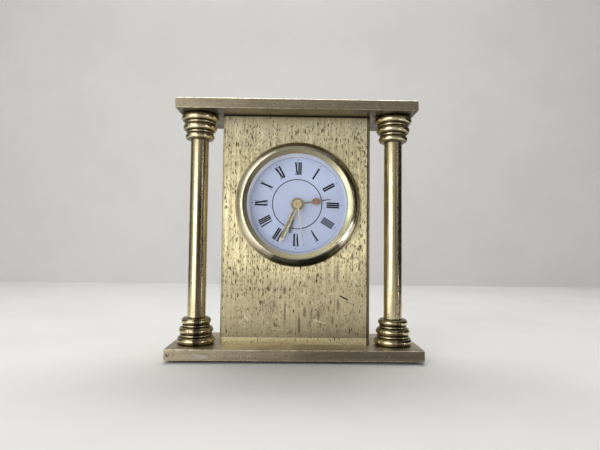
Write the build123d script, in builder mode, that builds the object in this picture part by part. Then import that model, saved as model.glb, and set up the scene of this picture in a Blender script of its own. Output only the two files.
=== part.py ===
from build123d import *
import math
import os

os.makedirs("parts", exist_ok=True)

# A brass pillar desk clock: two plates joined by two turned columns, a folded
# brass case between them, and a four-hand quartz alarm movement behind the dial.
# Millimetres. X to the right seen from the front, the dial faces -Y, +Z up.
# The origin is the middle of the footprint, on the surface the clock stands on.

# Plates
BASE_WIDTH = 98.8
BASE_DEPTH = 34.0
BASE_THICKNESS = 4.2
TOP_WIDTH = 94.6
TOP_DEPTH = 32.0
TOP_THICKNESS = 4.0
SPAN = 92.4
PLATE_EDGE = 0.15
FELT_THICKNESS = 1.0
FELT_INSET = 3.0

BASE_UNDERSIDE = FELT_THICKNESS
BASE_FACE = BASE_UNDERSIDE + BASE_THICKNESS
TOP_UNDERSIDE = BASE_FACE + SPAN

# Case, a channel folded from sheet with its web as the front panel
CASE_WIDTH = 60.0
CASE_DEPTH = 19.0
SHEET = 1.0
FOLD_RADIUS = 1.2
PANEL_SETBACK = 9.2
CASE_SCREW_X = 14.0
CASE_SCREW_Y = 1.0
PANEL_Y = -TOP_DEPTH / 2 + PANEL_SETBACK
CASE_REAR_Y = PANEL_Y + CASE_DEPTH

# Dial and bezel
DIAL_X = 0.5
DIAL_HEIGHT = 56.1
DIAL_Z = BASE_FACE + DIAL_HEIGHT
BEZEL_RADIUS = 25.3
BEZEL_RIDGE_RADIUS = 21.9
BEZEL_INNER_RADIUS = 20.1
BEZEL_HEIGHT = 4.6
SKIRT_RADIUS = 22.7
SKIRT_BORE = 21.6
SKIRT_CLEARANCE = 0.2
LENS_THICKNESS = 1.0
LENS_REAR = 2.6
DIAL_RADIUS = 19.4
DIAL_THICKNESS = 0.4
DIAL_SEAT = 2.2
SLIDING_GAP = 0.1

# Columns
COLUMN_X = 39.7
COLUMN_SETBACK = 2.0
COLUMN_Y = PANEL_Y + COLUMN_SETBACK
TUBE_RADIUS = 3.65
TUBE_BORE = 2.75
RING_RADII = (7.6, 6.8, 5.9)
RING_HEIGHTS = (2.9, 2.7, 2.5)
RING_BULGE = 1.15
BEAD_RADII = (6.4, 5.5)
BEAD_HEIGHTS = (1.1, 1.05)
BEAD_BULGE = 0.4
TURNING_HEIGHT = sum(RING_HEIGHTS) + sum(BEAD_HEIGHTS)
SPIGOT_RADIUS = 2.7
SPIGOT_LENGTH = 2.0
ROD_RADIUS = 1.5
ROD_BORE = 1.6
NUT_FLATS = 5.5
NUT_THICKNESS = 2.4
COUNTERBORE_RADIUS = 3.7
COUNTERBORE_DEPTH = 2.6
ROD_THREAD_IN_TOP = 2.6

# Movement
MOVEMENT_SIZE = 54.0
MOVEMENT_DEPTH = 17.0
MOVEMENT_SETBACK = 3.4
MOVEMENT_FRONT = PANEL_Y + MOVEMENT_SETBACK
MOVEMENT_REAR = MOVEMENT_FRONT + MOVEMENT_DEPTH
WALL = 1.2
SIDE_WALL = 1.0
HALF = MOVEMENT_SIZE / 2
INNER_HALF = HALF - SIDE_WALL
INNER_FRONT = MOVEMENT_FRONT + WALL
INNER_REAR = MOVEMENT_REAR - WALL
JOINT_LINE = 1.0

# Running fits
FIT = 0.05


def facing(y, x=0.0, z=0.0):
    """A plane across the shaft at depth y, x and z off the dial centre, facing the front."""
    return Plane(origin=(DIAL_X + x, y, DIAL_Z + z), x_dir=(1, 0, 0), z_dir=(0, -1, 0))


def hand_plane(angle, y):
    """A plane at depth y whose own y axis points along a hand, clockwise from twelve."""
    turn = math.radians(angle)
    along_x = (math.cos(turn), 0, -math.sin(turn))
    return Plane(origin=(DIAL_X, y, DIAL_Z), x_dir=along_x, z_dir=(0, -1, 0))


# Radius to the right and height in front of the panel upwards, for turned rings
ring_profile = Plane(origin=(DIAL_X, PANEL_Y, DIAL_Z), x_dir=(1, 0, 0), z_dir=(0, 0, -1))
shaft_axis = Axis((DIAL_X, 0, DIAL_Z), (0, 1, 0))

# Plates and felt
case_screw_spots = [(-CASE_SCREW_X, CASE_SCREW_Y), (CASE_SCREW_X, CASE_SCREW_Y)]
SCREW_RADIUS = 1.25
SCREW_HOLE = 1.3
SCREW_DEPTH = 3.2
SCREW_HEAD_RADIUS = 2.3
SCREW_HEAD_HEIGHT = 1.5
column_spots = [(-COLUMN_X, COLUMN_Y), (COLUMN_X, COLUMN_Y)]

with BuildPart() as base_plate:
    with BuildSketch(Plane.XY.offset(BASE_UNDERSIDE)):
        Rectangle(BASE_WIDTH, BASE_DEPTH)
    extrude(amount=BASE_THICKNESS)
    chamfer(base_plate.edges(), length=PLATE_EDGE)
    with BuildSketch(Plane.XY.offset(BASE_UNDERSIDE)):
        with Locations(*column_spots):
            Circle(ROD_BORE)
    extrude(amount=BASE_THICKNESS, mode=Mode.SUBTRACT)
    with BuildSketch(Plane.XY.offset(BASE_UNDERSIDE)):
        with Locations(*column_spots):
            Circle(COUNTERBORE_RADIUS)
    extrude(amount=COUNTERBORE_DEPTH, mode=Mode.SUBTRACT)
    with BuildSketch(Plane.XY.offset(BASE_FACE)):
        with Locations(*case_screw_spots):
            Circle(SCREW_HOLE)
    extrude(amount=-SCREW_DEPTH, mode=Mode.SUBTRACT)
base_plate.part.label = "base_plate"
export_step(base_plate.part, "parts/base_plate.step")

with BuildPart() as top_plate:
    with BuildSketch(Plane.XY.offset(TOP_UNDERSIDE)):
        Rectangle(TOP_WIDTH, TOP_DEPTH)
    extrude(amount=TOP_THICKNESS)
    chamfer(top_plate.edges(), length=PLATE_EDGE)
    with BuildSketch(Plane.XY.offset(TOP_UNDERSIDE)):
        with Locations(*column_spots):
            Circle(ROD_BORE)
    extrude(amount=ROD_THREAD_IN_TOP, mode=Mode.SUBTRACT)
    with BuildSketch(Plane.XY.offset(TOP_UNDERSIDE)):
        with Locations(*case_screw_spots):
            Circle(SCREW_HOLE)
    extrude(amount=SCREW_DEPTH, mode=Mode.SUBTRACT)
top_plate.part.label = "top_plate"
export_step(top_plate.part, "parts/top_plate.step")

with BuildPart() as base_felt:
    with BuildSketch():
        Rectangle(BASE_WIDTH - 2 * FELT_INSET, BASE_DEPTH - 2 * FELT_INSET)
    extrude(amount=FELT_THICKNESS)
base_felt.part.label = "base_felt"
export_step(base_felt.part, "parts/base_felt.step")

# Columns: a tube between a turned base and a turned capital, held by a rod through all three
bands = [
    (RING_RADII[0], RING_HEIGHTS[0], RING_BULGE),
    (BEAD_RADII[0], BEAD_HEIGHTS[0], BEAD_BULGE),
    (RING_RADII[1], RING_HEIGHTS[1], RING_BULGE),
    (BEAD_RADII[1], BEAD_HEIGHTS[1], BEAD_BULGE),
    (RING_RADII[2], RING_HEIGHTS[2], RING_BULGE),
]


def turned_outline():
    """Half the section of a column end, from the plate outwards to the tube's spigot."""
    height = 0.0
    last = (ROD_BORE, 0.0)
    for radius, band_height, bulge in bands:
        start = (radius - bulge, height)
        middle = (radius, height + band_height / 2)
        end = (radius - bulge, height + band_height)
        Line(last, start)
        ThreePointArc(start, middle, end)
        last = end
        height += band_height
    tip = height + SPIGOT_LENGTH
    Polyline(last, (SPIGOT_RADIUS, height), (SPIGOT_RADIUS, tip), (ROD_BORE, tip), (ROD_BORE, 0.0))


TUBE_BOTTOM = BASE_FACE + TURNING_HEIGHT
TUBE_LENGTH = SPAN - 2 * TURNING_HEIGHT
NUT_SEAT = BASE_UNDERSIDE + COUNTERBORE_DEPTH
ROD_START = NUT_SEAT - NUT_THICKNESS
ROD_END = TOP_UNDERSIDE + ROD_THREAD_IN_TOP

for side, column_x in (("left", -COLUMN_X), ("right", COLUMN_X)):
    column_axis = Axis((column_x, COLUMN_Y, 0), (0, 0, 1))

    with BuildPart() as column_base:
        upward = Plane(origin=(column_x, COLUMN_Y, BASE_FACE), x_dir=(1, 0, 0), z_dir=(0, -1, 0))
        with BuildSketch(upward):
            with BuildLine():
                turned_outline()
            make_face()
        revolve(axis=column_axis)
    column_base.part.label = f"{side}_column_base"
    export_step(column_base.part, f"parts/{side}_column_base.step")

    with BuildPart() as column_capital:
        downward = Plane(origin=(column_x, COLUMN_Y, TOP_UNDERSIDE), x_dir=(1, 0, 0), z_dir=(0, 1, 0))
        with BuildSketch(downward):
            with BuildLine():
                turned_outline()
            make_face()
        revolve(axis=column_axis)
    column_capital.part.label = f"{side}_column_capital"
    export_step(column_capital.part, f"parts/{side}_column_capital.step")

    with BuildPart() as column_tube:
        with BuildSketch(Plane(origin=(column_x, COLUMN_Y, TUBE_BOTTOM))):
            Circle(TUBE_RADIUS)
            Circle(TUBE_BORE, mode=Mode.SUBTRACT)
        extrude(amount=TUBE_LENGTH)
    column_tube.part.label = f"{side}_column_tube"
    export_step(column_tube.part, f"parts/{side}_column_tube.step")

    with BuildPart() as tie_rod:
        with BuildSketch(Plane(origin=(column_x, COLUMN_Y, ROD_START))):
            Circle(ROD_RADIUS)
        extrude(amount=ROD_END - ROD_START)
    tie_rod.part.label = f"{side}_tie_rod"
    export_step(tie_rod.part, f"parts/{side}_tie_rod.step")

with BuildPart() as tie_rod_nuts:
    with BuildSketch(Plane.XY.offset(ROD_START)):
        with Locations(*column_spots):
            RegularPolygon(radius=NUT_FLATS / 2, side_count=6, major_radius=False)
            Circle(ROD_RADIUS, mode=Mode.SUBTRACT)
    extrude(amount=NUT_THICKNESS)
tie_rod_nuts.part.label = "tie_rod_nuts"
export_step(tie_rod_nuts.part, "parts/tie_rod_nuts.step")

# Case shell: the channel, its end flanges for the plates and its lugs for the rear cover
END_FLANGE_WIDTH = 42.0
END_FLANGE_DEPTH = 12.0
LUG_REACH = 7.0
LUG_HEIGHT = 8.0
LOWER_LUG_MARGIN = 8.0
UPPER_LUG_MARGIN = 4.2
REAR_COVER_INSET = 0.8
REAR_COVER_FRONT = CASE_REAR_Y - REAR_COVER_INSET - SHEET
CASE_MIDDLE_Y = (PANEL_Y + CASE_REAR_Y) / 2
LUG_Z = (BASE_FACE + LOWER_LUG_MARGIN, TOP_UNDERSIDE - UPPER_LUG_MARGIN)
LUG_X = CASE_WIDTH / 2 - SHEET - LUG_REACH / 2
lug_spots = [(x, z) for x in (-LUG_X, LUG_X) for z in LUG_Z]
LUG_HOLE = 1.05
PANEL_HOLE = SKIRT_RADIUS + SKIRT_CLEARANCE
facing_front = Plane(origin=(0, REAR_COVER_FRONT, 0), x_dir=(1, 0, 0), z_dir=(0, -1, 0))

with BuildPart() as case_shell:
    with BuildSketch(Plane(origin=(0, CASE_MIDDLE_Y, BASE_FACE))) as channel:
        Rectangle(CASE_WIDTH, CASE_DEPTH)
        fillet(channel.vertices().group_by(Axis.Y)[0], radius=FOLD_RADIUS)
        with Locations((0, SHEET)):
            Rectangle(CASE_WIDTH - 2 * SHEET, CASE_DEPTH, mode=Mode.SUBTRACT)
    extrude(amount=SPAN)
    flange_middle_y = PANEL_Y + END_FLANGE_DEPTH / 2
    for flange_z in (BASE_FACE, TOP_UNDERSIDE - SHEET):
        with BuildSketch(Plane(origin=(0, flange_middle_y, flange_z))):
            Rectangle(END_FLANGE_WIDTH, END_FLANGE_DEPTH - SHEET / 2)
        extrude(amount=SHEET)
        with BuildSketch(Plane.XY.offset(flange_z)):
            with Locations(*case_screw_spots):
                Circle(SCREW_HOLE)
        extrude(amount=SHEET, mode=Mode.SUBTRACT)
    with BuildSketch(facing_front):
        with Locations(*lug_spots):
            Rectangle(LUG_REACH, LUG_HEIGHT)
    extrude(amount=SHEET)
    with BuildSketch(facing_front):
        with Locations(*lug_spots):
            Circle(LUG_HOLE)
    extrude(amount=SHEET, mode=Mode.SUBTRACT)
    with BuildSketch(facing(PANEL_Y + SHEET)):
        Circle(PANEL_HOLE)
    extrude(amount=SHEET, mode=Mode.SUBTRACT)
case_shell.part.label = "case_shell"
export_step(case_shell.part, "parts/case_shell.step")

with BuildPart() as case_screws:
    lower_head = BASE_FACE + SHEET
    upper_head = TOP_UNDERSIDE - SHEET
    for head_z, inward in ((lower_head, 1), (upper_head, -1)):
        with BuildSketch(Plane.XY.offset(head_z)):
            with Locations(*case_screw_spots):
                Circle(SCREW_HEAD_RADIUS)
        extrude(amount=inward * SCREW_HEAD_HEIGHT)
        with BuildSketch(Plane.XY.offset(head_z)):
            with Locations(*case_screw_spots):
                Circle(SCREW_RADIUS)
        extrude(amount=-inward * (SHEET + SCREW_DEPTH - FIT))
case_screws.part.label = "case_screws"
export_step(case_screws.part, "parts/case_screws.step")

# Rear cover, with a window that the movement's back stands through
COVER_CLEARANCE = 0.2
WINDOW = MOVEMENT_SIZE + 2 * COVER_CLEARANCE
WINDOW_CORNER = 0.8
COVER_SCREW_RADIUS = 1.0
COVER_SCREW_HEAD = 1.8
COVER_SCREW_HEAD_HEIGHT = 1.1
COVER_SCREW_LENGTH = 3.2

with BuildPart() as rear_cover:
    cover_middle_z = (BASE_FACE + TOP_UNDERSIDE) / 2
    cover_rear = REAR_COVER_FRONT + SHEET
    with BuildSketch(Plane(origin=(0, cover_rear, cover_middle_z), x_dir=(1, 0, 0), z_dir=(0, -1, 0))):
        cover_width = CASE_WIDTH - 2 * (SHEET + COVER_CLEARANCE)
        Rectangle(cover_width, SPAN - 2 * COVER_CLEARANCE)
    extrude(amount=SHEET)
    with BuildSketch(facing(cover_rear)):
        RectangleRounded(WINDOW, WINDOW, WINDOW_CORNER)
    extrude(amount=SHEET, mode=Mode.SUBTRACT)
    with BuildSketch(Plane(origin=(0, cover_rear, 0), x_dir=(1, 0, 0), z_dir=(0, -1, 0))):
        with Locations(*lug_spots):
            Circle(LUG_HOLE)
    extrude(amount=SHEET, mode=Mode.SUBTRACT)
rear_cover.part.label = "rear_cover"
export_step(rear_cover.part, "parts/rear_cover.step")

with BuildPart() as rear_cover_screws:
    head_seat = Plane(origin=(0, cover_rear, 0), x_dir=(1, 0, 0), z_dir=(0, -1, 0))
    with BuildSketch(head_seat):
        with Locations(*lug_spots):
            Circle(COVER_SCREW_RADIUS)
    extrude(amount=COVER_SCREW_LENGTH)
    with BuildSketch(head_seat):
        with Locations(*lug_spots):
            Circle(COVER_SCREW_HEAD)
    extrude(amount=-COVER_SCREW_HEAD_HEIGHT)
rear_cover_screws.part.label = "rear_cover_screws"
export_step(rear_cover_screws.part, "parts/rear_cover_screws.step")

# Bezel: a turned ring that sits on the panel, with a skirt that passes through it
BEZEL_LIP_HEIGHT = 4.0
LENS_FRONT = LENS_REAR + LENS_THICKNESS
SKIRT_END = PANEL_Y - MOVEMENT_FRONT
RIDGE_WIDTH = 0.5
RIDGE_OUTER_DROP = 0.125
RIDGE_INNER_DROP = 0.17
SHOULDER_RADIUS = 24.35
SHOULDER_HEIGHT = 2.9

with BuildPart() as bezel:
    with BuildSketch(ring_profile):
        with BuildLine():
            ridge_start = (BEZEL_RIDGE_RADIUS + RIDGE_WIDTH / 2, BEZEL_HEIGHT - RIDGE_OUTER_DROP)
            ridge_end = (BEZEL_RIDGE_RADIUS - RIDGE_WIDTH / 2, BEZEL_HEIGHT - RIDGE_INNER_DROP)
            ThreePointArc((BEZEL_RADIUS, 0), (SHOULDER_RADIUS, SHOULDER_HEIGHT), ridge_start)
            ThreePointArc(ridge_start, (BEZEL_RIDGE_RADIUS, BEZEL_HEIGHT), ridge_end)
            Polyline(
                ridge_end,
                (BEZEL_INNER_RADIUS, BEZEL_LIP_HEIGHT),
                (BEZEL_INNER_RADIUS, LENS_FRONT),
                (SKIRT_BORE, LENS_FRONT),
                (SKIRT_BORE, SKIRT_END),
                (SKIRT_RADIUS, SKIRT_END),
                (SKIRT_RADIUS, 0),
                (BEZEL_RADIUS, 0),
            )
        make_face()
    revolve(axis=shaft_axis)
bezel.part.label = "bezel"
export_step(bezel.part, "parts/bezel.step")

with BuildPart() as lens:
    with BuildSketch(facing(PANEL_Y - LENS_REAR)):
        Circle(SKIRT_BORE - SLIDING_GAP)
    extrude(amount=LENS_THICKNESS)
lens.part.label = "lens"
export_step(lens.part, "parts/lens.step")

SEAT_FRONT = MOVEMENT_FRONT - DIAL_SEAT
DIAL_FACE = PANEL_Y - SEAT_FRONT + DIAL_THICKNESS
DIAL_RING_MOUTH = 20.5
DIAL_HOLE = 2.5

with BuildPart() as dial_ring:
    with BuildSketch(ring_profile):
        with BuildLine():
            Polyline(
                (DIAL_RADIUS, DIAL_FACE),
                (SKIRT_BORE - SLIDING_GAP, DIAL_FACE),
                (SKIRT_BORE - SLIDING_GAP, LENS_REAR),
                (DIAL_RING_MOUTH, LENS_REAR),
                close=True,
            )
        make_face()
    revolve(axis=shaft_axis)
dial_ring.part.label = "dial_ring"
export_step(dial_ring.part, "parts/dial_ring.step")

with BuildPart() as dial_plate:
    with BuildSketch(facing(SEAT_FRONT)):
        Circle(SKIRT_BORE - SLIDING_GAP)
        Circle(DIAL_HOLE, mode=Mode.SUBTRACT)
    extrude(amount=DIAL_THICKNESS)
dial_plate.part.label = "dial_plate"
export_step(dial_plate.part, "parts/dial_plate.step")

# Wheel train: where each arbor stands from the shaft, and how many teeth each wheel has
TOOTH_ABOVE = 0.80
TOOTH_BELOW = 1.10
TOOTH_HALF = 0.205
TOOTH_SHOULDER = 0.16
TOOTH_TIP = 0.06


def toothed(teeth, module, phase):
    """The outline of a toothed wheel whose first tooth is centred on the angle phase."""
    reference = module * teeth / 2
    root = reference - module * TOOTH_BELOW
    shoulder = reference + module * TOOTH_ABOVE / 2
    tip = reference + module * TOOTH_ABOVE
    flank = ((root, TOOTH_HALF), (reference, TOOTH_HALF), (shoulder, TOOTH_SHOULDER), (tip, TOOTH_TIP))
    outline = [(radius, -part) for radius, part in flank] + list(reversed(flank))
    points = []
    for tooth in range(teeth):
        for radius, part in outline:
            angle = math.radians(phase + (tooth + part) * 360 / teeth)
            points.append((radius * math.cos(angle), radius * math.sin(angle)))
    return points


def meshed(teeth, phase, heading, mate_teeth):
    """The phase of a wheel that meshes with another, which lies back along the heading."""
    lead = (heading - phase) % (360 / teeth)
    return heading + 180 + (lead * teeth + 180) / mate_teeth


def spot(distance, heading, start=(0.0, 0.0)):
    """The point at a distance along a heading from another point."""
    turn = math.radians(heading)
    return (start[0] + distance * math.cos(turn), start[1] + distance * math.sin(turn))


SECONDS_TEETH, SECONDS_PINION = 60, 8
THIRD_TEETH, THIRD_PINION = 64, 8
CENTRE_TEETH = 60
INTERMEDIATE_TEETH, INTERMEDIATE_PINION = 48, 12
ROTOR_PINION = 8
CANNON_TEETH = 12
MINUTE_TEETH, MINUTE_PINION = 36, 10
HOUR_TEETH = 40
TIME_SET_TEETH = 12
ALARM_TEETH, ALARM_SET_TEETH = 30, 15

FINE = 0.25
SLOW = 0.235
MOTION = 0.35
ALARM = 0.4

THIRD_DISTANCE = SLOW * (SECONDS_PINION + THIRD_TEETH) / 2
CENTRE_MODULE = 2 * THIRD_DISTANCE / (THIRD_PINION + CENTRE_TEETH)
INTERMEDIATE_DISTANCE = FINE * (SECONDS_TEETH + INTERMEDIATE_PINION) / 2
ROTOR_DISTANCE = FINE * (INTERMEDIATE_TEETH + ROTOR_PINION) / 2
MINUTE_DISTANCE = MOTION * (CANNON_TEETH + MINUTE_TEETH) / 2
HOUR_MODULE = 2 * MINUTE_DISTANCE / (MINUTE_PINION + HOUR_TEETH)
TIME_SET_DISTANCE = MOTION * (MINUTE_TEETH + TIME_SET_TEETH) / 2
ALARM_SET_DISTANCE = ALARM * (ALARM_TEETH + ALARM_SET_TEETH) / 2

THIRD_HEADING = 190.0
INTERMEDIATE_HEADING = -10.0
ROTOR_HEADING = 10.0
MINUTE_HEADING = 60.0
TIME_SET_HEADING = 80.0
ALARM_SET_HEADING = 130.0

third_spot = spot(THIRD_DISTANCE, THIRD_HEADING)
intermediate_spot = spot(INTERMEDIATE_DISTANCE, INTERMEDIATE_HEADING)
rotor_spot = spot(ROTOR_DISTANCE, ROTOR_HEADING, intermediate_spot)
minute_spot = spot(MINUTE_DISTANCE, MINUTE_HEADING)
time_set_spot = spot(TIME_SET_DISTANCE, TIME_SET_HEADING, minute_spot)
alarm_set_spot = spot(ALARM_SET_DISTANCE, ALARM_SET_HEADING)

# Depths of the layers, from the dial side to the rear
ALARM_LAYER = (-2.0, -1.2)
HOUR_LAYER = (-1.0, -0.2)
MINUTE_PINION_LAYER = (-1.1, 0.4)
MINUTE_LAYER = (0.4, 1.2)
CANNON_LAYER = (0.2, 1.4)
CENTRE_LAYER = (2.0, 2.8)
CENTRE_HUB_FRONT = 1.6
THIRD_PINION_LAYER = (1.9, 3.3)
THIRD_LAYER = (3.3, 4.0)
SECONDS_PINION_LAYER = (3.15, 4.3)
SECONDS_LAYER = (4.3, 5.0)
INTERMEDIATE_PINION_LAYER = (4.1, 5.2)
INTERMEDIATE_LAYER = (5.2, 5.8)
ROTOR_PINION_LAYER = (5.1, 5.9)
MAGNET_LAYER = (2.6, 4.8)
BRIDGE_LAYER = (6.2, 7.2)
PIVOT_WEB = 0.4
PIVOT_FRONT = MOVEMENT_FRONT + PIVOT_WEB
PIVOT_REAR = BRIDGE_LAYER[1]

# Arbors and the nested tubes that carry the hands
ARBOR = 0.5
SECONDS_ARBOR = 0.5
THIN_ARBOR = 0.45
ROTOR_ARBOR = 0.4
SET_ARBOR = 0.6
CANNON_TUBE = (SECONDS_ARBOR + FIT, 1.0)
HOUR_TUBE = (CANNON_TUBE[1] + FIT, 1.65)
ALARM_TUBE = (HOUR_TUBE[1] + FIT, 2.35)
BUSH_BORE = ALARM_TUBE[1] + FIT
CENTRE_HUB_RADIUS = 1.9
CANNON_FLANGE_RADIUS = 1.5
CANNON_FLANGE_THICKNESS = 0.2

# Depth of each hand's front face, and the thickness of its sheet
HAND_SHEET = 0.2
ALARM_HAND_Y = -6.9
HOUR_HAND_Y = -7.5
MINUTE_HAND_Y = -8.1
SECOND_HAND_Y = -8.7
HUB_COLLAR = 0.35

third_phase = meshed(SECONDS_PINION, THIRD_HEADING, THIRD_HEADING, THIRD_TEETH)
centre_phase = meshed(THIRD_PINION, THIRD_HEADING + 180, THIRD_HEADING + 180, CENTRE_TEETH)
intermediate_pinion_phase = meshed(
    SECONDS_TEETH, INTERMEDIATE_HEADING, INTERMEDIATE_HEADING, INTERMEDIATE_PINION
)
rotor_phase = meshed(INTERMEDIATE_TEETH, ROTOR_HEADING, ROTOR_HEADING, ROTOR_PINION)
minute_phase = meshed(CANNON_TEETH, MINUTE_HEADING, MINUTE_HEADING, MINUTE_TEETH)
hour_phase = meshed(MINUTE_PINION, MINUTE_HEADING + 180, MINUTE_HEADING + 180, HOUR_TEETH)
time_set_phase = meshed(MINUTE_TEETH, minute_phase, TIME_SET_HEADING, TIME_SET_TEETH)
alarm_set_phase = meshed(ALARM_TEETH, ALARM_SET_HEADING, ALARM_SET_HEADING, ALARM_SET_TEETH)

with BuildPart() as seconds_wheel:
    with BuildSketch(facing(SECONDS_LAYER[1])):
        Polygon(*toothed(SECONDS_TEETH, FINE, INTERMEDIATE_HEADING), align=None)
    extrude(amount=SECONDS_LAYER[1] - SECONDS_LAYER[0])
    with BuildSketch(facing(SECONDS_PINION_LAYER[1])):
        Polygon(*toothed(SECONDS_PINION, SLOW, THIRD_HEADING), align=None)
    extrude(amount=SECONDS_PINION_LAYER[1] - SECONDS_PINION_LAYER[0])
    with BuildSketch(facing(PIVOT_REAR)):
        Circle(SECONDS_ARBOR)
    extrude(amount=PIVOT_REAR - SECOND_HAND_Y)
seconds_wheel.part.label = "seconds_wheel"
export_step(seconds_wheel.part, "parts/seconds_wheel.step")

with BuildPart() as third_wheel:
    with BuildSketch(facing(THIRD_LAYER[1], *third_spot)):
        Polygon(*toothed(THIRD_TEETH, SLOW, third_phase), align=None)
    extrude(amount=THIRD_LAYER[1] - THIRD_LAYER[0])
    with BuildSketch(facing(THIRD_PINION_LAYER[1], *third_spot)):
        Polygon(*toothed(THIRD_PINION, CENTRE_MODULE, THIRD_HEADING + 180), align=None)
    extrude(amount=THIRD_PINION_LAYER[1] - THIRD_PINION_LAYER[0])
    with BuildSketch(facing(PIVOT_REAR, *third_spot)):
        Circle(THIN_ARBOR)
    extrude(amount=PIVOT_REAR - PIVOT_FRONT)
third_wheel.part.label = "third_wheel"
export_step(third_wheel.part, "parts/third_wheel.step")

with BuildPart() as centre_wheel:
    with BuildSketch(facing(CENTRE_LAYER[1])):
        Polygon(*toothed(CENTRE_TEETH, CENTRE_MODULE, centre_phase), align=None)
    extrude(amount=CENTRE_LAYER[1] - CENTRE_LAYER[0])
    with BuildSketch(facing(CENTRE_LAYER[1])):
        Circle(CENTRE_HUB_RADIUS)
    extrude(amount=CENTRE_LAYER[1] - CENTRE_HUB_FRONT)
    with BuildSketch(facing(CENTRE_LAYER[1])):
        Circle(CANNON_TUBE[1] + FIT)
    extrude(amount=CENTRE_LAYER[1] - CENTRE_HUB_FRONT, mode=Mode.SUBTRACT)
centre_wheel.part.label = "centre_wheel"
export_step(centre_wheel.part, "parts/centre_wheel.step")

with BuildPart() as intermediate_wheel:
    with BuildSketch(facing(INTERMEDIATE_LAYER[1], *intermediate_spot)):
        Polygon(*toothed(INTERMEDIATE_TEETH, FINE, ROTOR_HEADING), align=None)
    extrude(amount=INTERMEDIATE_LAYER[1] - INTERMEDIATE_LAYER[0])
    with BuildSketch(facing(INTERMEDIATE_PINION_LAYER[1], *intermediate_spot)):
        Polygon(*toothed(INTERMEDIATE_PINION, FINE, intermediate_pinion_phase), align=None)
    extrude(amount=INTERMEDIATE_PINION_LAYER[1] - INTERMEDIATE_PINION_LAYER[0])
    with BuildSketch(facing(PIVOT_REAR, *intermediate_spot)):
        Circle(THIN_ARBOR)
    extrude(amount=PIVOT_REAR - PIVOT_FRONT)
intermediate_wheel.part.label = "intermediate_wheel"
export_step(intermediate_wheel.part, "parts/intermediate_wheel.step")

MAGNET_RADIUS = 3.0

with BuildPart() as rotor:
    with BuildSketch(facing(ROTOR_PINION_LAYER[1], *rotor_spot)):
        Polygon(*toothed(ROTOR_PINION, FINE, rotor_phase), align=None)
    extrude(amount=ROTOR_PINION_LAYER[1] - ROTOR_PINION_LAYER[0])
    with BuildSketch(facing(MAGNET_LAYER[1], *rotor_spot)):
        Circle(MAGNET_RADIUS)
    extrude(amount=MAGNET_LAYER[1] - MAGNET_LAYER[0])
    with BuildSketch(facing(PIVOT_REAR, *rotor_spot)):
        Circle(ROTOR_ARBOR)
    extrude(amount=PIVOT_REAR - PIVOT_FRONT)
rotor.part.label = "rotor"
export_step(rotor.part, "parts/rotor.step")

with BuildPart() as cannon_pinion:
    flange_front = CENTRE_LAYER[1] + FIT
    flange_rear = flange_front + CANNON_FLANGE_THICKNESS
    with BuildSketch(facing(CANNON_LAYER[1])):
        Polygon(*toothed(CANNON_TEETH, MOTION, MINUTE_HEADING), align=None)
    extrude(amount=CANNON_LAYER[1] - CANNON_LAYER[0])
    with BuildSketch(facing(flange_rear)):
        Circle(CANNON_FLANGE_RADIUS)
    extrude(amount=CANNON_FLANGE_THICKNESS)
    with BuildSketch(facing(flange_rear)):
        Circle(CANNON_TUBE[1])
    extrude(amount=flange_rear - MINUTE_HAND_Y)
    with BuildSketch(facing(flange_rear)):
        Circle(CANNON_TUBE[0])
    extrude(amount=flange_rear - MINUTE_HAND_Y, mode=Mode.SUBTRACT)
cannon_pinion.part.label = "cannon_pinion"
export_step(cannon_pinion.part, "parts/cannon_pinion.step")

with BuildPart() as minute_wheel:
    with BuildSketch(facing(MINUTE_LAYER[1], *minute_spot)):
        Polygon(*toothed(MINUTE_TEETH, MOTION, minute_phase), align=None)
    extrude(amount=MINUTE_LAYER[1] - MINUTE_LAYER[0])
    with BuildSketch(facing(MINUTE_PINION_LAYER[1], *minute_spot)):
        Polygon(*toothed(MINUTE_PINION, HOUR_MODULE, MINUTE_HEADING + 180), align=None)
    extrude(amount=MINUTE_PINION_LAYER[1] - MINUTE_PINION_LAYER[0])
    with BuildSketch(facing(PIVOT_REAR, *minute_spot)):
        Circle(ARBOR)
    extrude(amount=PIVOT_REAR - PIVOT_FRONT)
minute_wheel.part.label = "minute_wheel"
export_step(minute_wheel.part, "parts/minute_wheel.step")

with BuildPart() as hour_wheel:
    with BuildSketch(facing(HOUR_LAYER[1])):
        Polygon(*toothed(HOUR_TEETH, HOUR_MODULE, hour_phase), align=None)
    extrude(amount=HOUR_LAYER[1] - HOUR_LAYER[0])
    with BuildSketch(facing(HOUR_LAYER[1])):
        Circle(HOUR_TUBE[1])
    extrude(amount=HOUR_LAYER[1] - HOUR_HAND_Y)
    with BuildSketch(facing(HOUR_LAYER[1])):
        Circle(HOUR_TUBE[0])
    extrude(amount=HOUR_LAYER[1] - HOUR_HAND_Y, mode=Mode.SUBTRACT)
hour_wheel.part.label = "hour_wheel"
export_step(hour_wheel.part, "parts/hour_wheel.step")

with BuildPart() as alarm_wheel:
    with BuildSketch(facing(ALARM_LAYER[1])):
        Polygon(*toothed(ALARM_TEETH, ALARM, ALARM_SET_HEADING), align=None)
    extrude(amount=ALARM_LAYER[1] - ALARM_LAYER[0])
    with BuildSketch(facing(ALARM_LAYER[1])):
        Circle(ALARM_TUBE[1])
    extrude(amount=ALARM_LAYER[1] - ALARM_HAND_Y)
    with BuildSketch(facing(ALARM_LAYER[1])):
        Circle(ALARM_TUBE[0])
    extrude(amount=ALARM_LAYER[1] - ALARM_HAND_Y, mode=Mode.SUBTRACT)
alarm_wheel.part.label = "alarm_wheel"
export_step(alarm_wheel.part, "parts/alarm_wheel.step")

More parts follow.
